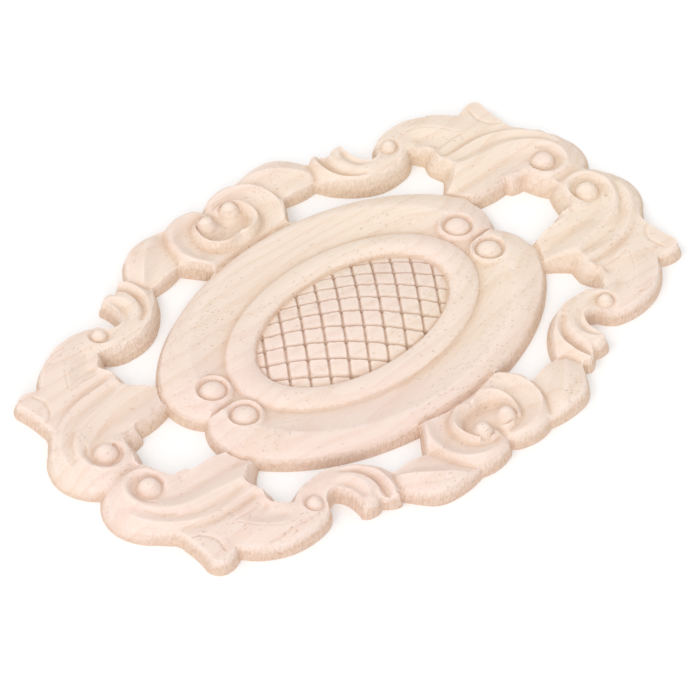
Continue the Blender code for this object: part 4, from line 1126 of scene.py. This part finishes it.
def pale_wood(grain, ridges):
    """Bare pale rubberwood: cream with a pink cast, tan where it is steep, painted shade with a little tan
    in its hollows, painted shade in its creases and hatch grooves, a painted highlight on its crests; matte.
    """
    material = bpy.data.materials.new("bare pale rubberwood")
    material.use_nodes = True
    tree = material.node_tree
    shader = tree.nodes["Principled BSDF"]
    place = add(tree, "ShaderNodeTexCoord").outputs["Object"]
    place = add(tree, "ShaderNodeMapping", {"Vector": place, "Scale": (1 / MM, 1 / MM, 1 / MM)}).outputs[0]

    def stored(name):
        return add(tree, "ShaderNodeAttribute", attribute_name=name).outputs["Fac"]

    def scaled(group, name, strength):
        return maths(tree, "MULTIPLY", group.outputs[name], strength)

    wood = add(tree, "ShaderNodeGroup", node_tree=grain)
    tree.links.new(place, wood.inputs["Place in mm"])
    cut = add(tree, "ShaderNodeGroup", node_tree=ridges)
    tree.links.new(place, cut.inputs["Place in mm"])
    tree.links.new(stored("steep"), cut.inputs["Steepness"])
    # yellower towards the far right, pinker towards the near left
    side = add(tree, "ShaderNodeSeparateXYZ", (place,))
    right = ramp(tree, maths(tree, "ADD", side.outputs[0], side.outputs[1]), *WARM_ACROSS, *WARM_SHARE)
    tone = maths(tree, "SUBTRACT", wood.outputs["Tone"], HALF[0])
    warm = maths(tree, "MULTIPLY_ADD", tone, TONE_TINT, right, clamp=True)
    colour = blend(tree, warm, PINK_CREAM, YELLOW_CREAM)
    for share, tint, way in (
            (scaled(wood, "Rings", RING_TINT), LATE_WOOD, "MULTIPLY"),
            (scaled(wood, "Streaks", STREAK_TINT), STREAK, "MULTIPLY"),
            # painted shade in the hollows, with some tan of deep cuts, and painted shade in the creases
            (ramp(tree, stored("hollow"), *HOLLOW_SHADE_RANGE, 0.0, HOLLOW_SHADE_TINT), HOLLOW_SHADE, "MULTIPLY"),
            (ramp(tree, stored("crease"), *CREASE_SHADE_RANGE, 0.0, CREASE_SHADE_TINT), HOLLOW_SHADE, "MULTIPLY"),
            # painted highlight on the crests
            (ramp(tree, stored("crease"), *CREST_HIGHLIGHT_RANGE, 0.0, CREST_HIGHLIGHT_TINT), CREST_HIGHLIGHT, "MIX"),
            (ramp(tree, stored("steep"), *WALL_RANGE, 0.0, WALL_TINT), WALL_TAN, "MULTIPLY"),
            # painted shade in the hatch grooves and pits
            (maths(tree, "MULTIPLY", stored("groove"), GROOVE_SHADE_TINT), GROOVE_SHADE, "MULTIPLY"),
            (scaled(cut, "Ridges", RIDGE_TINT), RIDGE_TAN, "MULTIPLY"),
            (scaled(wood, "Pores", PORE_TINT), PORE, "MULTIPLY")):
        colour = blend(tree, share, colour, tint, way)
    tree.links.new(colour, shader.inputs["Base Color"])
    rough = maths(tree, "MULTIPLY_ADD", wood.outputs["Streaks"], STREAK_ROUGHNESS, ROUGHNESS)
    tree.links.new(rough, shader.inputs["Roughness"])
    raised = scaled(wood, "Streaks", STREAK_RELIEF)
    raised = maths(tree, "MULTIPLY_ADD", wood.outputs["Pores"], PORE_RELIEF, raised)
    raised = maths(tree, "MULTIPLY_ADD", cut.outputs["Ridges"], RIDGE_RELIEF, raised)
    bump = add(tree, "ShaderNodeBump", {"Strength": 0.8, "Distance": 0.0002, "Height": raised})
    tree.links.new(bump.outputs[0], shader.inputs["Normal"])
    shader.inputs["Metallic"].default_value = 0.0
    shader.inputs["Specular IOR Level"].default_value = 0.3
    return material


def pale_floor():
    """A wide white sheet under the onlay."""
    half = 3.0
    mesh = bpy.data.meshes.new("floor")
    corners = [(-half, -half, 0.0), (half, -half, 0.0), (half, half, 0.0), (-half, half, 0.0)]
    mesh.from_pydata(corners, [], [(0, 1, 2, 3)])
    floor = bpy.data.objects.new("floor", mesh)
    material = bpy.data.materials.new("white paper")
    material.use_nodes = True
    shader = material.node_tree.nodes["Principled BSDF"]
    shader.inputs["Base Color"].default_value = (0.93, 0.93, 0.93, 1.0)
    shader.inputs["Roughness"].default_value = 0.9
    mesh.materials.append(material)
    bpy.context.scene.collection.objects.link(floor)


def soft_light():
    """White surroundings, a wide lamp from the upper left and a low fill from the front."""
    world = bpy.data.worlds.new("white studio")
    world.use_nodes = True
    world.node_tree.nodes["Background"].inputs["Color"].default_value = (1.0, 1.0, 1.0, 1.0)
    world.node_tree.nodes["Background"].inputs["Strength"].default_value = SURROUND_LIGHT
    bpy.context.scene.world = world
    for name, strength, tilt, turn in (("wide lamp", LAMP_LIGHT, LAMP_TILT, LAMP_TURN),
                                       ("low fill", FILL_LIGHT, FILL_TILT, CAMERA_AZIMUTH)):
        lamp = bpy.data.lights.new(name, "SUN")
        lamp.energy = strength
        lamp.angle = math.radians(LAMP_SPREAD)
        stand = bpy.data.objects.new(name, lamp)
        stand.rotation_euler = (math.radians(tilt), 0.0, math.radians(turn))
        bpy.context.scene.collection.objects.link(stand)
    bpy.context.scene.view_settings.view_transform = "Standard"


def camera():
    """A long lens from the near left corner, high above the floor."""
    turn, rise = math.radians(CAMERA_AZIMUTH), math.radians(CAMERA_ELEVATION)
    back = Vector((math.sin(turn) * math.cos(rise), -math.cos(turn) * math.cos(rise), math.sin(rise)))
    data = bpy.data.cameras.new("camera")
    data.lens = LENS
    data.sensor_width = 36.0
    data.clip_end = 100.0
    eye = bpy.data.objects.new("camera", data)
    eye.location = Vector(CAMERA_AIM) + back * CAMERA_DISTANCE
    eye.rotation_mode = "QUATERNION"
    eye.rotation_quaternion = (-back).to_track_quat("-Z", "Y")
    bpy.context.scene.collection.objects.link(eye)
    bpy.context.scene.camera = eye


wood = pale_wood(grain_group(), ridge_group())
rosette = bpy.data.objects.new("rosette_carving", rosette_mesh())
bpy.context.scene.collection.objects.link(rosette)
rosette.data = with_tree(rosette, crosshatch_tree(), {
    "Field half size": (FIELD_EDGE[0] * MM, FIELD_EDGE[1] * MM, 1.0),
    "First crossing": (HATCH_START[0] * MM, HATCH_START[1] * MM, 0.0),
    "Step along": (HATCH_ALONG[0] * MM, HATCH_ALONG[1] * MM, 0.0),
    "Step across": (HATCH_ACROSS[0] * MM, HATCH_ACROSS[1] * MM, 0.0),
    "Wood": wood})
rosette.data.shade_smooth()
rosette.data.set_sharp_from_angle(angle=math.radians(SHARP_ANGLE))
mark_relief(rosette.data)
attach(rosette, "root")
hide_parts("rosette")
pale_floor()
soft_light()
camera()
